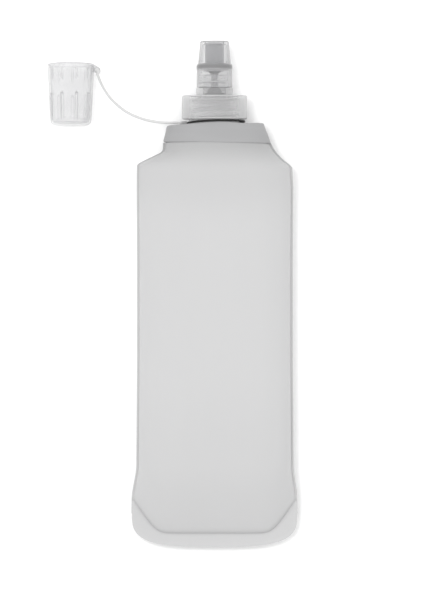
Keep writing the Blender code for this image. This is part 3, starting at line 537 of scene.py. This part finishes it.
# Half widths of the pocket, left and right: the left shoulder is cut straight, the right hollow.
LEFT_EDGE = ((-60, 37.9), (-10, 37.5), (40, 37.5), (80, 37.7), (89.4, 37.6), (90.4, 36.6),
             (92.3, 32.7), (94.3, 28.4), (95.7, 25.6), (97.0, 24.7), (100.6, 24.5))
RIGHT_EDGE = ((-60, 38.4), (-10, 38.0), (40, 38.0), (78, 38.2), (88.2, 37.7), (89.6, 36.5),
              (91.2, 34.3), (93.0, 32.2), (95.2, 30.2), (97.6, 28.4), (100.6, 26.9))


def edge_x(s, y):
    """x of the pocket's share s of the way from the middle to the left or right edge."""
    if s < 0:
        return s * knotted(y, LEFT_EDGE)
    return s * knotted(y, RIGHT_EDGE)


# The films' fullness: a flat-topped curve along the body turns into a round one at the mouth.
FRONT_RISE = 12.0
FRONT_POWER = 3.0
BACK_REST = 1.0
BACK_POWER = 3.2
MOUTH_RISE = 14.9
MOUTH_POWER = 2.0


def film_rise(s, y, front):
    """How far a film stands off the seam's plane; the back one is then cut off by the floor."""
    mouth = smooth(y, 60, 96.5)
    power = mix(FRONT_POWER if front else BACK_POWER, MOUTH_POWER, mouth)
    across = (1 - min(abs(s), 1.0) ** power) ** (1 / power)
    body_rise = FRONT_RISE if front else seam_height(y) + BACK_REST
    return mix(body_rise, MOUTH_RISE, mouth) * across


# Two waves in the films: (length across, length along, depth in the noise, height).
RIPPLES = ((13.0, 90.0, 0.0, 0.22), (5.0, 60.0, 3.1, 0.07))
BACK_LAYER = 7.3


def ripple(x, y, front):
    """Slow vertical waves in the film, under a third of a millimetre."""
    layer = 0.0 if front else BACK_LAYER
    return sum(high * noise.noise(Vector((x / wide, y / long, layer + deep)))
               for wide, long, deep, high in RIPPLES)


FILM_COLUMNS = 84
HEM_ROWS = 9
LOWER_ROWS = 56
LOWER_TOP_Y = -8.0
LOWER_SPACING = 1.7
SEAM_STEPS = (SEAM, 0.9, 0.6, 0.3)
# Runs of upper rows: (first y, step, count), closer together where the shoulders turn.
UPPER_ROWS = ((-7.0, 4.0, 20), (72.0, 2.0, 8), (87.0, 0.55, 26))
# Painted shade: the hem's and the side seams' colour is darkened by these factors.
HEM_PAINTED_SHADE = 0.985
SEAM_PAINTED_SHADE = 0.97
FILM_SHARP_DEGREES = 50.0


def film_columns():
    """(share, offset) of each column: outside the side seams, then from one seam to the other."""
    inside = []
    for i in range(FILM_COLUMNS + 1):
        inside.append((math.sin(math.pi / 2 * (i / FILM_COLUMNS * 2 - 1)), 0.0))
    left = [(-1.0, -offset) for offset in SEAM_STEPS]
    right = [(1.0, offset) for offset in reversed(SEAM_STEPS)]
    return left + inside + right


def film_piece(name, front, nodes):
    """One film of the bag, in one sheet from the hem to the mouth, blended over the fold."""
    side = 1 if front else -1
    shares = film_columns()
    levels = [first + i * step for first, step, count in UPPER_ROWS for i in range(count)]
    levels = [y for y in levels if y < MOUTH_Y] + [MOUTH_Y]

    grid = []
    shades = []
    for i in range(HEM_ROWS + 1):
        share = i / HEM_ROWS
        row = []
        tone = []
        for s, offset in shares:
            hem_fall = (HEM_CORNER_Y - HEM_Y) * (1 - abs(s) ** HEM_POWER) ** (1 / HEM_POWER)
            hx, hy = HEM_HALF * s, HEM_CORNER_Y - hem_fall
            wx, wy = weld_line(s)
            if offset:
                hx = math.copysign(HEM_HALF + HEM_END_REACH, s)
                hy = HEM_CORNER_Y + HEM_END_RISE * abs(offset) / SEAM
                wx += offset
            x, y = mix(hx, wx, share), mix(hy, wy, share)
            dip = GROOVE_DEPTH * math.exp(-((1 - share) / GROOVE_SHARE) ** 2)
            height = seam_height(y) + side * (WELD_GAP / 2 + FILM - dip)
            row.append((x, y, height))
            shadow = GROOVE_SHADE * math.exp(-((1 - share) / GROOVE_SHADE_SHARE) ** 2)
            tone.append(HEM_PAINTED_SHADE - shadow)
        grid.append(row)
        shades.append(tone)
    for i in range(1, LOWER_ROWS + 1):
        share = i / LOWER_ROWS
        row = []
        tone = []
        for s, offset in shares:
            wx, wy = weld_line(s)
            y = wy + (LOWER_TOP_Y - wy) * share ** LOWER_SPACING
            x = mix(wx, edge_x(s, y), smooth(y, wy, wy + WELD_FLARE)) + offset
            run = min((y - wy) / BOTTOM_TAPER, 1.0)
            taper = (1 - (1 - run) ** BOTTOM_POWER) ** BOTTOM_ROUNDNESS
            row.append(film_point(x, y, s, offset, taper, front))
            tone.append(film_painted_shade(y, y - wy, offset))
        grid.append(row)
        shades.append(tone)
    for y in levels:
        row = []
        tone = []
        for s, offset in shares:
            x = edge_x(s, y) + offset
            row.append(film_point(x, y, s, offset, 1.0, front))
            tone.append(film_painted_shade(y, y - WELD_Y, offset))
        grid.append(row)
        shades.append(tone)

    shape = bmesh.new()
    # Painted shade, kept on each point as its shade colour.
    paint = shape.verts.layers.float_color.new("shade")
    made = []
    for row, tone in zip(grid, shades):
        line = []
        for point, value in zip(row, tone):
            vertex = shape.verts.new(point)
            vertex[paint] = (value, value, value, 1.0)
            line.append(vertex)
        made.append(line)
    for low, high in zip(made[:-1], made[1:]):
        for i in range(len(low) - 1):
            corners = (low[i], low[i + 1], high[i + 1], high[i])
            if side < 0:
                corners = corners[::-1]
            shape.faces.new(corners)
    bmesh.ops.scale(shape, vec=(MM, MM, MM), verts=shape.verts)
    mesh = bpy.data.meshes.new(name)
    shape.to_mesh(mesh)
    shape.free()
    mesh.materials.append(film_look)
    mesh.shade_smooth()
    film = bpy.data.objects.new(name, mesh)
    pieces.objects.link(film)
    skin = film.modifiers.new("Film", "SOLIDIFY")
    skin.thickness = FILM * MM
    skin.offset = -1.0
    apply_modifiers(film)
    film.data.set_sharp_from_angle(angle=math.radians(FILM_SHARP_DEGREES))
    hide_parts(*nodes)
    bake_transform(film)
    return film


WELD_DIP = 0.1
FLOOR_GAP = 0.02


def film_point(x, y, s, offset, taper, front):
    """A point of a film's outside; the welded seam is pressed in a little on its inner line."""
    side = 1 if front else -1
    base = seam_height(y) + side * (WELD_GAP / 2 + FILM)
    if offset:
        dip = WELD_DIP if abs(offset) == SEAM_STEPS[-1] else 0.0
        return (x, y, base - side * dip)
    rise = film_rise(s, y, front) * taper
    inner = smooth(rise, 0.0, 6.0)
    height = base + side * (rise + ripple(x, y, front) * inner)
    if not front:
        height = max(height, FLOOR_GAP)
    return (x, y, height)


def film_painted_shade(y, above_weld, offset):
    """Painted shade in the film's colour: darker on the side seams, beside the bottom weld, under
    the collar and, a little, towards the bottom.
    """
    tone = 1.0
    if offset:
        tone *= SEAM_PAINTED_SHADE
    tone *= 1.0 - 0.12 * math.exp(-(above_weld / 1.2) ** 2)
    tone *= 1.0 - 0.05 * smooth(y, 60, 86) - 0.2 * smooth(y, 86, 101)
    tone *= 1.0 - 0.03 * smooth(-y, 10, 60)
    return tone


def apply_modifiers(made):
    """Turns a mesh with its modifiers into a plain mesh."""
    bpy.context.view_layer.update()
    graph = bpy.context.evaluated_depsgraph_get()
    mesh = bpy.data.meshes.new_from_object(made.evaluated_get(graph))
    mesh.name = made.name
    old = made.data
    made.modifiers.clear()
    made.data = mesh
    bpy.data.meshes.remove(old)


film_piece("front_film", True, ("front_film_upper", "front_film_lower"))
film_piece("back_film", False, ("back_film_upper", "back_film_lower"))


# ---------------------------------------------------------------- collar and neck

RIGHT_SADDLE = 0.6
LEFT_SADDLE = 1.1


def collar_saddle(x, z):
    """Depth of the two dips in the collar's edge that leave room for the strap at either side."""
    right = RIGHT_SADDLE * smooth(x, 18, 20) * (1 - smooth(abs(z - AXIS - 2.0), 1.4, 3.2))
    left = LEFT_SADDLE * smooth(-x, 18, 20) * (1 - smooth(abs(z - AXIS + 2.0), 1.5, 3.4))
    return right + left


def collar_ring(half_width, depth_share, height, shift=0.0, tilt=0.0, top=0.0, saddle=0.0):
    """An oval ring; tilt leans it sideways, top is its share of the top edge's curve, and saddle
    its share of the strap's dips."""
    ring = []
    for i in range(SEGMENTS):
        angle = 2 * math.pi * i / SEGMENTS
        x = shift + half_width * math.cos(angle)
        z = AXIS - half_width * depth_share * math.sin(angle)
        y = height + tilt * x + top * collar_top(x, z) - saddle * collar_saddle(x, z)
        ring.append(Vector((x, y, z)))
    return ring


def bore_ring(radius, height):
    """A round ring about the neck's axis, with as many points as an oval one."""
    return [around_neck(radius, 2 * math.pi * i / SEGMENTS, height) for i in range(SEGMENTS)]


LOW_TILT = -0.012
COLLAR_SWELL = 0.85
COLLAR_SWELL_X = 2.0
COLLAR_SWELL_WIDTH = 9.0
COLLAR_SWELL_DEPTH = 10.0
COLLAR_LIFT = 0.35
COLLAR_SLOPE = 0.004
COLLAR_DROOP = 0.0014


def collar_top(x, z):
    """The top edge's height: it droops to the left, lifts at the right end and swells in front."""
    across = math.exp(-((x - COLLAR_SWELL_X) / COLLAR_SWELL_WIDTH) ** 2)
    swell = COLLAR_SWELL * across * smooth(z, AXIS, AXIS + COLLAR_SWELL_DEPTH)
    lift = COLLAR_LIFT * smooth(x, 14, 24)
    return COLLAR_SLOPE * x - COLLAR_DROOP * min(x, 0.0) ** 2 + lift + swell


# From the bore's lower end round the outside and back down into the bore.
collar_shape = bmesh.new()
rings = [
    bore_ring(12.9, 95.6),
    collar_ring(24.3, 0.585, 95.6, 0.6),
    collar_ring(24.3, 0.585, 100.2, 0.6),
    collar_ring(25.7, 0.6, 100.45, 1.2, LOW_TILT),
    collar_ring(26.5, 0.6, 100.62, 1.25, LOW_TILT),
    collar_ring(26.75, 0.6, 100.95, 1.25, LOW_TILT),
    collar_ring(26.8, 0.6, 101.4, 1.25, LOW_TILT),
    collar_ring(25.5, 0.6, 105.4, 0.8, 0.0, 0.5),
    collar_ring(24.5, 0.6, 109.1, 0.4, 0.0, 1.0, 1.0),
    collar_ring(24.25, 0.6, 109.7, 0.35, 0.0, 1.0, 1.0),
    collar_ring(23.8, 0.6, 109.98, 0.35, 0.0, 1.0, 1.0),
    collar_ring(23.2, 0.6, 110.05, 0.3, 0.0, 1.0, 1.0),
    collar_ring(22.6, 0.6, 109.9, 0.3, 0.0, 1.0, 1.0),
    collar_ring(22.0, 0.6, 109.4, 0.3, 0.0, 0.0, 1.0),
    bore_ring(13.15, 109.4),
    bore_ring(12.95, 109.1),
]
skin_rings(collar_shape, rings, close_loop=True)
collar = add_piece("collar", collar_shape, collar_look)
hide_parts("shoulder_collar")
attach(collar, "flask")

neck_shape = bmesh.new()
lathe(neck_shape, fillet([
    (11.1, 121.2), (12.6, 121.2), (12.6, 104.5), (13.9, 104.5), (13.9, 102.5), (12.6, 102.5),
    (12.6, 95.6), (11.1, 95.6),
], 0.3))
helix(neck_shape, centre=12.9, first_turn=0.0)
neck = add_piece("neck", neck_shape, neck_look)
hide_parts("threaded_neck")
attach(neck, "flask")

GASKET_LEAN = 0.036
GASKET_TILT = 0.026
GASKET_SHIFT = 0.8


def on_gasket(radius, angle, height):
    """The gasket lies a little askew: its front is up against the cap, and its left end droops."""
    point = around_neck(radius, angle, height)
    point.x += GASKET_SHIFT
    point.y += GASKET_LEAN * (point.z - AXIS) + GASKET_TILT * point.x
    return point


gasket_shape = bmesh.new()
lathe(gasket_shape, fillet([(13.4, 111.3), (14.6, 111.3), (14.6, 110.45), (13.4, 110.45)], 0.25),
      place=on_gasket)
gasket = add_piece("gasket", gasket_shape, gasket_look)
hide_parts("neck_gasket")
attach(gasket, "flask")


# ---------------------------------------------------------------- tether ring

# The stub that the strap grows from: (x, radius) at each point.
STUB = ((-13.9, 0.9), (-15.0, 0.85), (-16.2, 0.75), (-17.2, 0.65), (-18.0, 0.6))
STUB_Y = 110.6
STUB_FLATNESS = 0.7

ring_shape = bmesh.new()
lathe(ring_shape, fillet([(12.85, 110.3), (13.35, 110.3), (13.35, 109.6), (12.85, 109.6)], 0.2))
tube(ring_shape, [in_tether_plane(x, STUB_Y) for x, _ in STUB], [radius for _, radius in STUB],
     sides=16, flat=STUB_FLATNESS)
# Painted shade: the ring and the stub's inner end are darkened where they lie in the shadow under
# the gasket and the screw cap.
tether_ring = add_piece("tether_loop", ring_shape, tether_look,
                        density_and_painted_shade=lambda point: smooth(point.x, -17.3, -16.0))
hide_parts("tether_ring")
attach(tether_ring, "tether_ring")


# ---------------------------------------------------------------- screw cap and liner

CAP_TOP_Y = 124.2
CAP_LOW_Y = 112.35
# A shallow seat in the cap's top takes the dust cap's rim.
SEAT_Y = 123.7

cap_shape = bmesh.new()
lathe(cap_shape, refine(fillet([
    (8.6, CAP_TOP_Y), (10.2, CAP_TOP_Y), (10.3, SEAT_Y), (12.3, SEAT_Y), (12.4, CAP_TOP_Y),
    (16.3, CAP_TOP_Y, 0.9), (16.3, CAP_LOW_Y, 0.6), (14.9, CAP_LOW_Y), (14.9, 122.6), (8.6, 122.6),
], 0.2, steps=4)))
helix(cap_shape, centre=14.6, first_turn=0.5)
# Painted dark lines along the cap's lower and top edges, standing in for the dark edges of clear
# plastic.
screw_cap = add_piece("cap_shell", cap_shape, cap_look, density_and_painted_shade=lines_at(
    (CAP_LOW_Y, 0.6, 0.5), (CAP_TOP_Y, 0.4, 0.3)))
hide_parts("screw_cap")
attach(screw_cap, "screw_cap")

liner_shape = bmesh.new()
lathe(liner_shape, fillet([(9.3, 122.3), (14.3, 122.3), (14.3, 121.5), (9.3, 121.5)], 0.2))
liner = add_piece("liner", liner_shape, liner_look)
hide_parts("cap_liner")
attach(liner, "nozzle")


# ---------------------------------------------------------------- nozzle

# From the top: the spigot, a wider band above the screw cap and the ribbed plug in the neck.
BORE = 5.6
SPIGOT_TOP_Y = 134.6
BAND_TOP_Y = 127.9
PLUG_TOP_Y = 121.5
PLUG_LOW_Y = 113.0
PLUG_RIBS = 5
PLUG_RADIUS = 7.7
RIB_RADIUS = 8.3
RIB_PITCH = (PLUG_TOP_Y - PLUG_LOW_Y) / (PLUG_RIBS + 0.5)
PLUG_DENSITY = 0.93
BAND_DENSITY = 0.5
SPIGOT_RADIUS = 6.9
BAND_RADIUS = 9.15

nozzle_outline = [
    (BORE, SPIGOT_TOP_Y), (SPIGOT_RADIUS, SPIGOT_TOP_Y), (SPIGOT_RADIUS, BAND_TOP_Y),
    (BAND_RADIUS, BAND_TOP_Y, 0.25), (BAND_RADIUS, 126.5, 0.1), (BAND_RADIUS, 124.5, 1.3),
    (8.2, 124.5, 0.1), (8.2, 122.3, 0.1), (9.0, 122.3), (9.0, PLUG_TOP_Y),
    (PLUG_RADIUS, PLUG_TOP_Y),
]
plug_lines = []
for i in range(PLUG_RIBS):
    middle = PLUG_TOP_Y - (i + 1) * RIB_PITCH
    nozzle_outline += [
        (PLUG_RADIUS, middle + RIB_PITCH / 4), (RIB_RADIUS, middle, 0.15),
        (PLUG_RADIUS, middle - RIB_PITCH / 4),
    ]
    plug_lines.append((middle, 0.4, 0.9))
nozzle_outline += [(7.5, PLUG_LOW_Y), (BORE, PLUG_LOW_Y)]
nozzle_shape = bmesh.new()
lathe(nozzle_shape, refine(fillet(nozzle_outline, 0.18)))
# Painted dark lines at the spigot's top rim, the band's top edge and the plug's ribs.
nozzle_lines = lines_at((SPIGOT_TOP_Y, 0.25, 0.9), (127.85, 0.3, 0.5), *plug_lines)


def nozzle_density_and_painted_lines(point):
    """The plug inside the neck reads denser than the band, and the band than the spigot; painted
    dark lines lie at the spigot's top rim, the band's top edge and the plug's ribs.
    """
    plug = PLUG_DENSITY * (1 - smooth(point.y, 121, 123))
    band = BAND_DENSITY * smooth(point.y, 124.2, 124.6) * (1 - smooth(point.y, 127.6, 128.0))
    return max(nozzle_lines(point), plug, band)


nozzle = add_piece("nozzle_body", nozzle_shape, nozzle_look, density_and_painted_shade=nozzle_density_and_painted_lines)
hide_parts("nozzle_base")
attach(nozzle, "nozzle")

SEAL_RADIUS = 7.2
SEAL_Y = 131.0
SEAL_HALF = 0.28
SEAL_SIDES = 16

seal_outline = []
for i in range(SEAL_SIDES):
    around = 2 * math.pi * i / SEAL_SIDES
    seal_outline.append((SEAL_RADIUS + SEAL_HALF * math.cos(around),
                         SEAL_Y + SEAL_HALF * math.sin(around)))
seal_shape = bmesh.new()
lathe(seal_shape, seal_outline)
seal = add_piece("seal_ring", seal_shape, seal_look)
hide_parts("mouthpiece_seal")
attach(seal, "nozzle")

# The stem stands on three legs that reach the wall of the bore.
LEGS = 3
LEG_REACH = (2.0, 5.3)
LEG_Y = 124.85
LEG_HALF_WIDTH = 0.55
LEG_HALF_HEIGHT = 0.35
LEG_SIDES = 12

stem_shape = bmesh.new()
lathe(stem_shape, fillet([
    (0, 135.1), (2.2, 135.1), (1.85, 134.5, 0.5), (1.75, 133.0, 0.6),
    (1.7, 128.6, 0.4), (2.7, 128.0, 0.4), (3.5, 126.6, 0.9), (3.8, 125.2, 0.6),
    (3.6, 124.3, 0.3), (0, 124.3),
], 0.2, closed=False, steps=5), closed=False)
for i in range(LEGS):
    angle = math.pi / 2 + 2 * math.pi * i / LEGS
    tangent = around_neck(1.0, angle + math.pi / 2, 0) - around_neck(0.0, 0.0, 0)
    rings = []
    for radius in LEG_REACH:
        ring = []
        for k in range(LEG_SIDES):
            around = 2 * math.pi * k / LEG_SIDES
            point = around_neck(radius, angle, LEG_Y + LEG_HALF_HEIGHT * math.sin(around))
            ring.append(point + tangent * LEG_HALF_WIDTH * math.cos(around))
        rings.append(ring)
    skin_rings(stem_shape, rings, cap_start=True, cap_end=True)
stem = add_piece("stem", stem_shape, stem_look)
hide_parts("valve_stem")
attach(stem, "nozzle")

disc_shape = bmesh.new()
lathe(disc_shape, fillet([
    (0, 139.6), (7.5, 139.6, 0.6), (7.6, 137.7, 0.6), (6.7, 137.2, 0.3), (3.2, 136.2, 0.3),
    (2.3, 135.3, 0.2), (0, 135.3),
], 0.3, closed=False, steps=4), closed=False)
disc = add_piece("disc", disc_shape, disc_look)
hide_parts("valve_disc")
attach(disc, "nozzle")

TIP_RADIUS = 4.75
TIP_TOP_Y = 150.7
TIP_LOW_Y = 139.9
TIP_ROUND = 2.3
TIP_ROUND_STEPS = 9

tip_outline = [(0, TIP_TOP_Y)]
for i in range(TIP_ROUND_STEPS + 1):
    angle = math.pi / 2 * (1 - i / TIP_ROUND_STEPS)
    tip_outline.append((TIP_RADIUS - TIP_ROUND * (1 - math.cos(angle)),
                        TIP_TOP_Y - TIP_ROUND * (1 - math.sin(angle))))
tip_outline += [(TIP_RADIUS, TIP_LOW_Y), (0, TIP_LOW_Y)]
tip_shape = bmesh.new()
lathe(tip_shape, tip_outline, closed=False)
tip = add_piece("tip", tip_shape, valve_look)
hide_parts("valve_tip")
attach(tip, "nozzle")


# ---------------------------------------------------------------- mouthpiece

SLEEVE_TOP_Y = 151.35
SLEEVE_LOW_Y = 128.2
SLEEVE_SEGMENTS = 128

sleeve_shape = bmesh.new()
lathe(sleeve_shape, refine(fillet([
    (4.9, SLEEVE_TOP_Y, 0.2), (7.1, SLEEVE_TOP_Y, 0.4), (8.15, 140.1, 0.3), (8.7, 139.75, 0.3),
    (9.0, 139.1, 0.4), (9.0, 137.3, 0.4), (8.75, 136.6, 0.3), (8.9, SLEEVE_LOW_Y, 0.3),
    (7.85, SLEEVE_LOW_Y, 0.2), (7.95, 139.3, 0.4), (7.3, 140.6, 0.4), (6.3, 149.6, 0.5),
    (4.9, 150.3, 0.3),
], 0.2, steps=4)), segments=SLEEVE_SEGMENTS)
# Painted dark lines at the sleeve's rims and edges, and a painted dark band over the bead where
# the valve disc shows through.
sleeve_lines = lines_at(
    (SLEEVE_TOP_Y, 0.35, 0.9), (150.5, 0.8, 0.25), (139.9, 0.3, 0.8), (138.6, 1.3, 0.85),
    (136.7, 0.25, 0.4), (SLEEVE_LOW_Y, 0.3, 0.6))
sleeve = add_piece("sleeve", sleeve_shape, sleeve_look, density_and_painted_shade=sleeve_lines)
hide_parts("mouthpiece")
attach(sleeve, "mouthpiece")


# ---------------------------------------------------------------- dust cap

DUST_LOW_Y = 109.5
DUST_HEIGHT = 30.5
DUST_LOW_RADIUS = 10.47
DUST_RIM_RADIUS = 11.74
DUST_TAPER_START = 3.0
DUST_INNER_RADII = (9.5, 10.58)
DUST_INNER_TAPER = 24.6
LUG_RADIUS = 12.0
LUG_DENSITY = 0.45
FLUTES = 9
FLUTE_PHASE = math.radians(69.5)
# The dust cap leans a little on its rim, with its closed end off the surface.
DUST_LEAN = math.radians(3.4)


def dust_point(radius, angle, height):
    """A point round the dust cap's axis, leaning about the lug."""
    up = radius * math.sin(angle)
    along = DUST_LOW_Y + height - TOGGLE[1]
    y = TOGGLE[1] + along * math.cos(DUST_LEAN) + up * math.sin(DUST_LEAN)
    above = -along * math.sin(DUST_LEAN) + up * math.cos(DUST_LEAN)
    return in_tether_plane(DUST_X + radius * math.cos(angle), y, above)


# Columns round the cap, as steps from a flute's middle in mm at the mean radius, closest at the
# flute's edges.
FLUTE_STEPS = (0.0, 0.3, 0.45, 0.6, 0.7, 0.76, 0.82, 0.88, 0.94, 1.05, 1.4, 2.0, 2.8, 3.6)
MEAN_RADIUS = 11.0
FLUTE_PITCH = 2 * math.pi / FLUTES
FLUTE_TOP = 15.9
FLUTE_LOW = 1.6
FLUTE_HALF = 0.78
FLUTE_DEPTH = 0.6
INNER_RIB_DEPTH = 0.7
INNER_RIB_LOW = 22.4


def dust_angles():
    """The columns' angles, flute by flute."""
    steps = [-step for step in reversed(FLUTE_STEPS[1:])] + list(FLUTE_STEPS)
    angles = []
    for flute in range(FLUTES):
        middle = FLUTE_PHASE + flute * FLUTE_PITCH
        angles += [middle + step / MEAN_RADIUS for step in steps]
        angles.append(middle + FLUTE_PITCH / 2)
    return angles


def from_flute(angle):
    """Distance from the nearest flute's middle, round the wall."""
    turns = abs(((angle - FLUTE_PHASE) / FLUTE_PITCH + 0.5) % 1.0 - 0.5)
    return turns * FLUTE_PITCH * MEAN_RADIUS


def from_flute_line(angle, height):
    """Distance from the flute's middle line, which stops short of its half-round top end."""
    beyond = max(height - (FLUTE_TOP - FLUTE_HALF), 0.0)
    return math.hypot(from_flute(angle), beyond)


def flute_depth(angle, height):
    """Depth of the round-topped grip flutes at a point of the outside."""
    depth = FLUTE_DEPTH * (1 - smooth(from_flute_line(angle, height), 0.5, FLUTE_HALF))
    return depth * smooth(height, FLUTE_LOW - 0.8, FLUTE_LOW + 0.6)


def rib_depth(angle, height):
    """Height of the inner ribs below the rim."""
    across = 1 - smooth(from_flute(angle), 0.3, 0.6)
    return INNER_RIB_DEPTH * across * smooth(height, INNER_RIB_LOW, INNER_RIB_LOW + 0.6)


def spread(start, end, step):
    """Heights about step apart, without the last."""
    count = max(1, round((end - start) / step))
    return [mix(start, end, i / count) for i in range(count)]


dust_shape = bmesh.new()
outer_profile = fillet([(0, 0), (8.7, 0, 1.0), (9.95, 0.8, 1.2), (10.45, 2.6, 1.4)], 0.5,
                       closed=False, steps=5)
outer_profile = outer_profile[1:-1]
heights = (spread(DUST_TAPER_START, 14.5, 0.9) + spread(14.5, 16.0, 0.1)
           + spread(16.0, 29.9, 0.9))
for height in heights:
    share = (height - DUST_TAPER_START) / (DUST_HEIGHT - DUST_TAPER_START)
    outer_profile.append((mix(DUST_LOW_RADIUS, DUST_RIM_RADIUS, share), height))
outer_profile += [(11.8, 29.95), (11.84, 30.2), (11.72, DUST_HEIGHT), (11.3, 30.6),
                  (10.98, DUST_HEIGHT), (10.86, 30.2), (10.84, 29.9)]
inner_profile = [(10.82, 28.2), (10.8, 28.0), (10.58, 27.7)]
heights = (spread(DUST_TAPER_START, 22.2, 0.9) + spread(22.2, 23.2, 0.15)
           + spread(23.2, 27.6, 0.9))
for height in reversed(heights):
    share = (height - DUST_TAPER_START) / DUST_INNER_TAPER
    inner_profile.append((mix(*DUST_INNER_RADII, share), height))
inner_profile += [(9.3, 2.3), (8.9, 1.7), (8.3, 1.3), (7.6, 1.2)]
angles = dust_angles()
rings = []
for radius, height in outer_profile:
    rings.append([dust_point(radius - flute_depth(a, height), a, height) for a in angles])
for radius, height in inner_profile:
    rings.append([dust_point(radius - rib_depth(a, height), a, height) for a in angles])
skin_rings(dust_shape, rings, cap_start=True, cap_end=True)

# The lug: a plate on the wall with a bevelled eye for the toggle's pin.
LUG_OUTLINE = ((-3.5, 2.5), (-1.0, 2.5), (0.4, 1.5), (1.2, 0.6), (1.35, -0.4), (0.8, -1.25),
               (-0.2, -1.45), (-3.2, -1.3))
LUG_POINTS = 48
# (inset of the outline, radius of the eye, height) of each ring of the plate.
LUG_LAYERS = ((0.2, 0.95, -0.8), (0.0, 0.8, -0.6), (0.0, 0.8, 0.6), (0.2, 0.95, 0.8))


def rounded_loop(corners, radius, count):
    """count points, evenly spaced, round a polygon with rounded corners."""
    loop = [Vector(p) for p in fillet(corners, radius, steps=4)]
    loop.append(loop[0])
    lengths = [0.0]
    for a, b in zip(loop[:-1], loop[1:]):
        lengths.append(lengths[-1] + (b - a).length)
    result = []
    k = 0
    for i in range(count):
        target = lengths[-1] * i / count
        while lengths[k + 1] < target:
            k += 1
        share = (target - lengths[k]) / max(lengths[k + 1] - lengths[k], 1e-9)
        result.append(loop[k].lerp(loop[k + 1], share))
    return result


lug_loop = rounded_loop(LUG_OUTLINE, 0.5, LUG_POINTS)
outer_rings, inner_rings = [], []
for inset, hole, above in LUG_LAYERS:
    outer, inner = [], []
    for corner in lug_loop:
        away = corner.normalized()
        point = corner - away * inset
        outer.append(on_toggle(point.x, point.y, above))
        inner.append(on_toggle(hole * away.x, hole * away.y, above))
    outer_rings.append(outer)
    inner_rings.append(inner)
skin_rings(dust_shape, outer_rings + inner_rings[::-1], close_loop=True)


def dust_density_and_painted_shade(point):
    """Where the clear cap reads dark: the lug's thicker plate, and painted dark lines on its rim,
    the flutes' edges, the ribs and the closed end, standing in for the dark edges of clear
    plastic. The side that faces up when the cap lies down is painted darker than the far one."""
    away = point - in_tether_plane(DUST_X, DUST_LOW_Y)
    along = Vector((0, 1, 0))
    across = Vector((math.cos(TETHER_TILT), 0, math.sin(TETHER_TILT)))
    up = across.cross(along)
    local_y = away.y + DUST_LOW_Y - TOGGLE[1]
    local_up = away.dot(up)
    height = (local_y * math.cos(DUST_LEAN) - local_up * math.sin(DUST_LEAN)
              + TOGGLE[1] - DUST_LOW_Y)
    rise = local_y * math.sin(DUST_LEAN) + local_up * math.cos(DUST_LEAN)
    side = away.dot(across)
    radius = math.hypot(side, rise)
    if radius > LUG_RADIUS:
        return LUG_DENSITY
    angle = math.atan2(rise, side) % (2 * math.pi)
    front = smooth(rise, -3.0, 1.0)
    value = mix(0.2, 0.8, front) * smooth(height, 30.05, 30.4)
    value = max(value, 0.45 * front * smooth(height, 27.6, 28.6))
    value = max(value, 0.6 * (1 - smooth(abs(height - 2.6), 0.15, 0.5)))
    value = max(value, 0.15 * (1 - smooth(height, 0.2, 0.8)))
    if 2.0 < height < 16.2:
        distance = from_flute_line(angle, height)
        edge = 1 - smooth(abs(distance - 0.68), 0.08, 0.25)
        cap_end = smooth(height, 14.6, 15.3) * (1 - smooth(distance, 0.6, 0.8))
        value = max(value, mix(0.25, 0.7, front) * edge, mix(0.3, 0.9, front) * cap_end)
    if height > 22.0:
        edge = 1 - smooth(abs(from_flute(angle) - 0.45), 0.1, 0.3)
        value = max(value, mix(0.15, 0.4, front) * edge * smooth(height, 22.0, 23.0))
    return value


dust = add_piece("dust_cover", dust_shape, dust_look, density_and_painted_shade=dust_density_and_painted_shade)
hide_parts("dust_cap")
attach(dust, "dust_cap")


# ---------------------------------------------------------------- floor and light

FLOOR_HALF = 3.0
FLOOR_CELLS = 8
FLOOR_GREY = 0.95
WORLD_STRENGTH = 0.95
LIGHT_TARGET = (0, 0.02, 0)

floor_mesh = bpy.data.meshes.new("floor")
shape = bmesh.new()
bmesh.ops.create_grid(shape, x_segments=FLOOR_CELLS, y_segments=FLOOR_CELLS, size=FLOOR_HALF)
shape.to_mesh(floor_mesh)
shape.free()
floor = bpy.data.objects.new("floor", floor_mesh)
bpy.context.scene.collection.objects.link(floor)
floor_look = bpy.data.materials.new("pale_floor")
floor_look.use_nodes = True
floor_shader = floor_look.node_tree.nodes["Principled BSDF"]
floor_shader.inputs["Base Color"].default_value = (FLOOR_GREY, FLOOR_GREY, FLOOR_GREY, 1)
floor_shader.inputs["Roughness"].default_value = 0.9
floor_shader.inputs["Specular IOR Level"].default_value = 0.1
floor_mesh.materials.append(floor_look)


def area_light(name, place, size, power):
    """A soft round light aimed at the bottle, in metres and watts, with no image in the gloss."""
    light = bpy.data.lights.new(name, "AREA")
    light.shape = "DISK"
    light.size = size
    light.energy = power
    made = bpy.data.objects.new(name, light)
    made.location = place
    aim = Vector(LIGHT_TARGET) - Vector(place)
    made.rotation_euler = aim.to_track_quat("-Z", "Y").to_euler()
    made.visible_glossy = False
    bpy.context.scene.collection.objects.link(made)


area_light("key", (-0.3, 0.27, 1.6), size=0.3, power=5.0)
area_light("fill", (-0.15, 0.25, 2.1), size=1.6, power=16.0)

world = bpy.data.worlds.new("studio")
bpy.context.scene.world = world
world.use_nodes = True
sky = world.node_tree
background = sky.nodes["Background"]
background.inputs["Color"].default_value = (1, 1, 1, 1)
background.inputs["Strength"].default_value = WORLD_STRENGTH
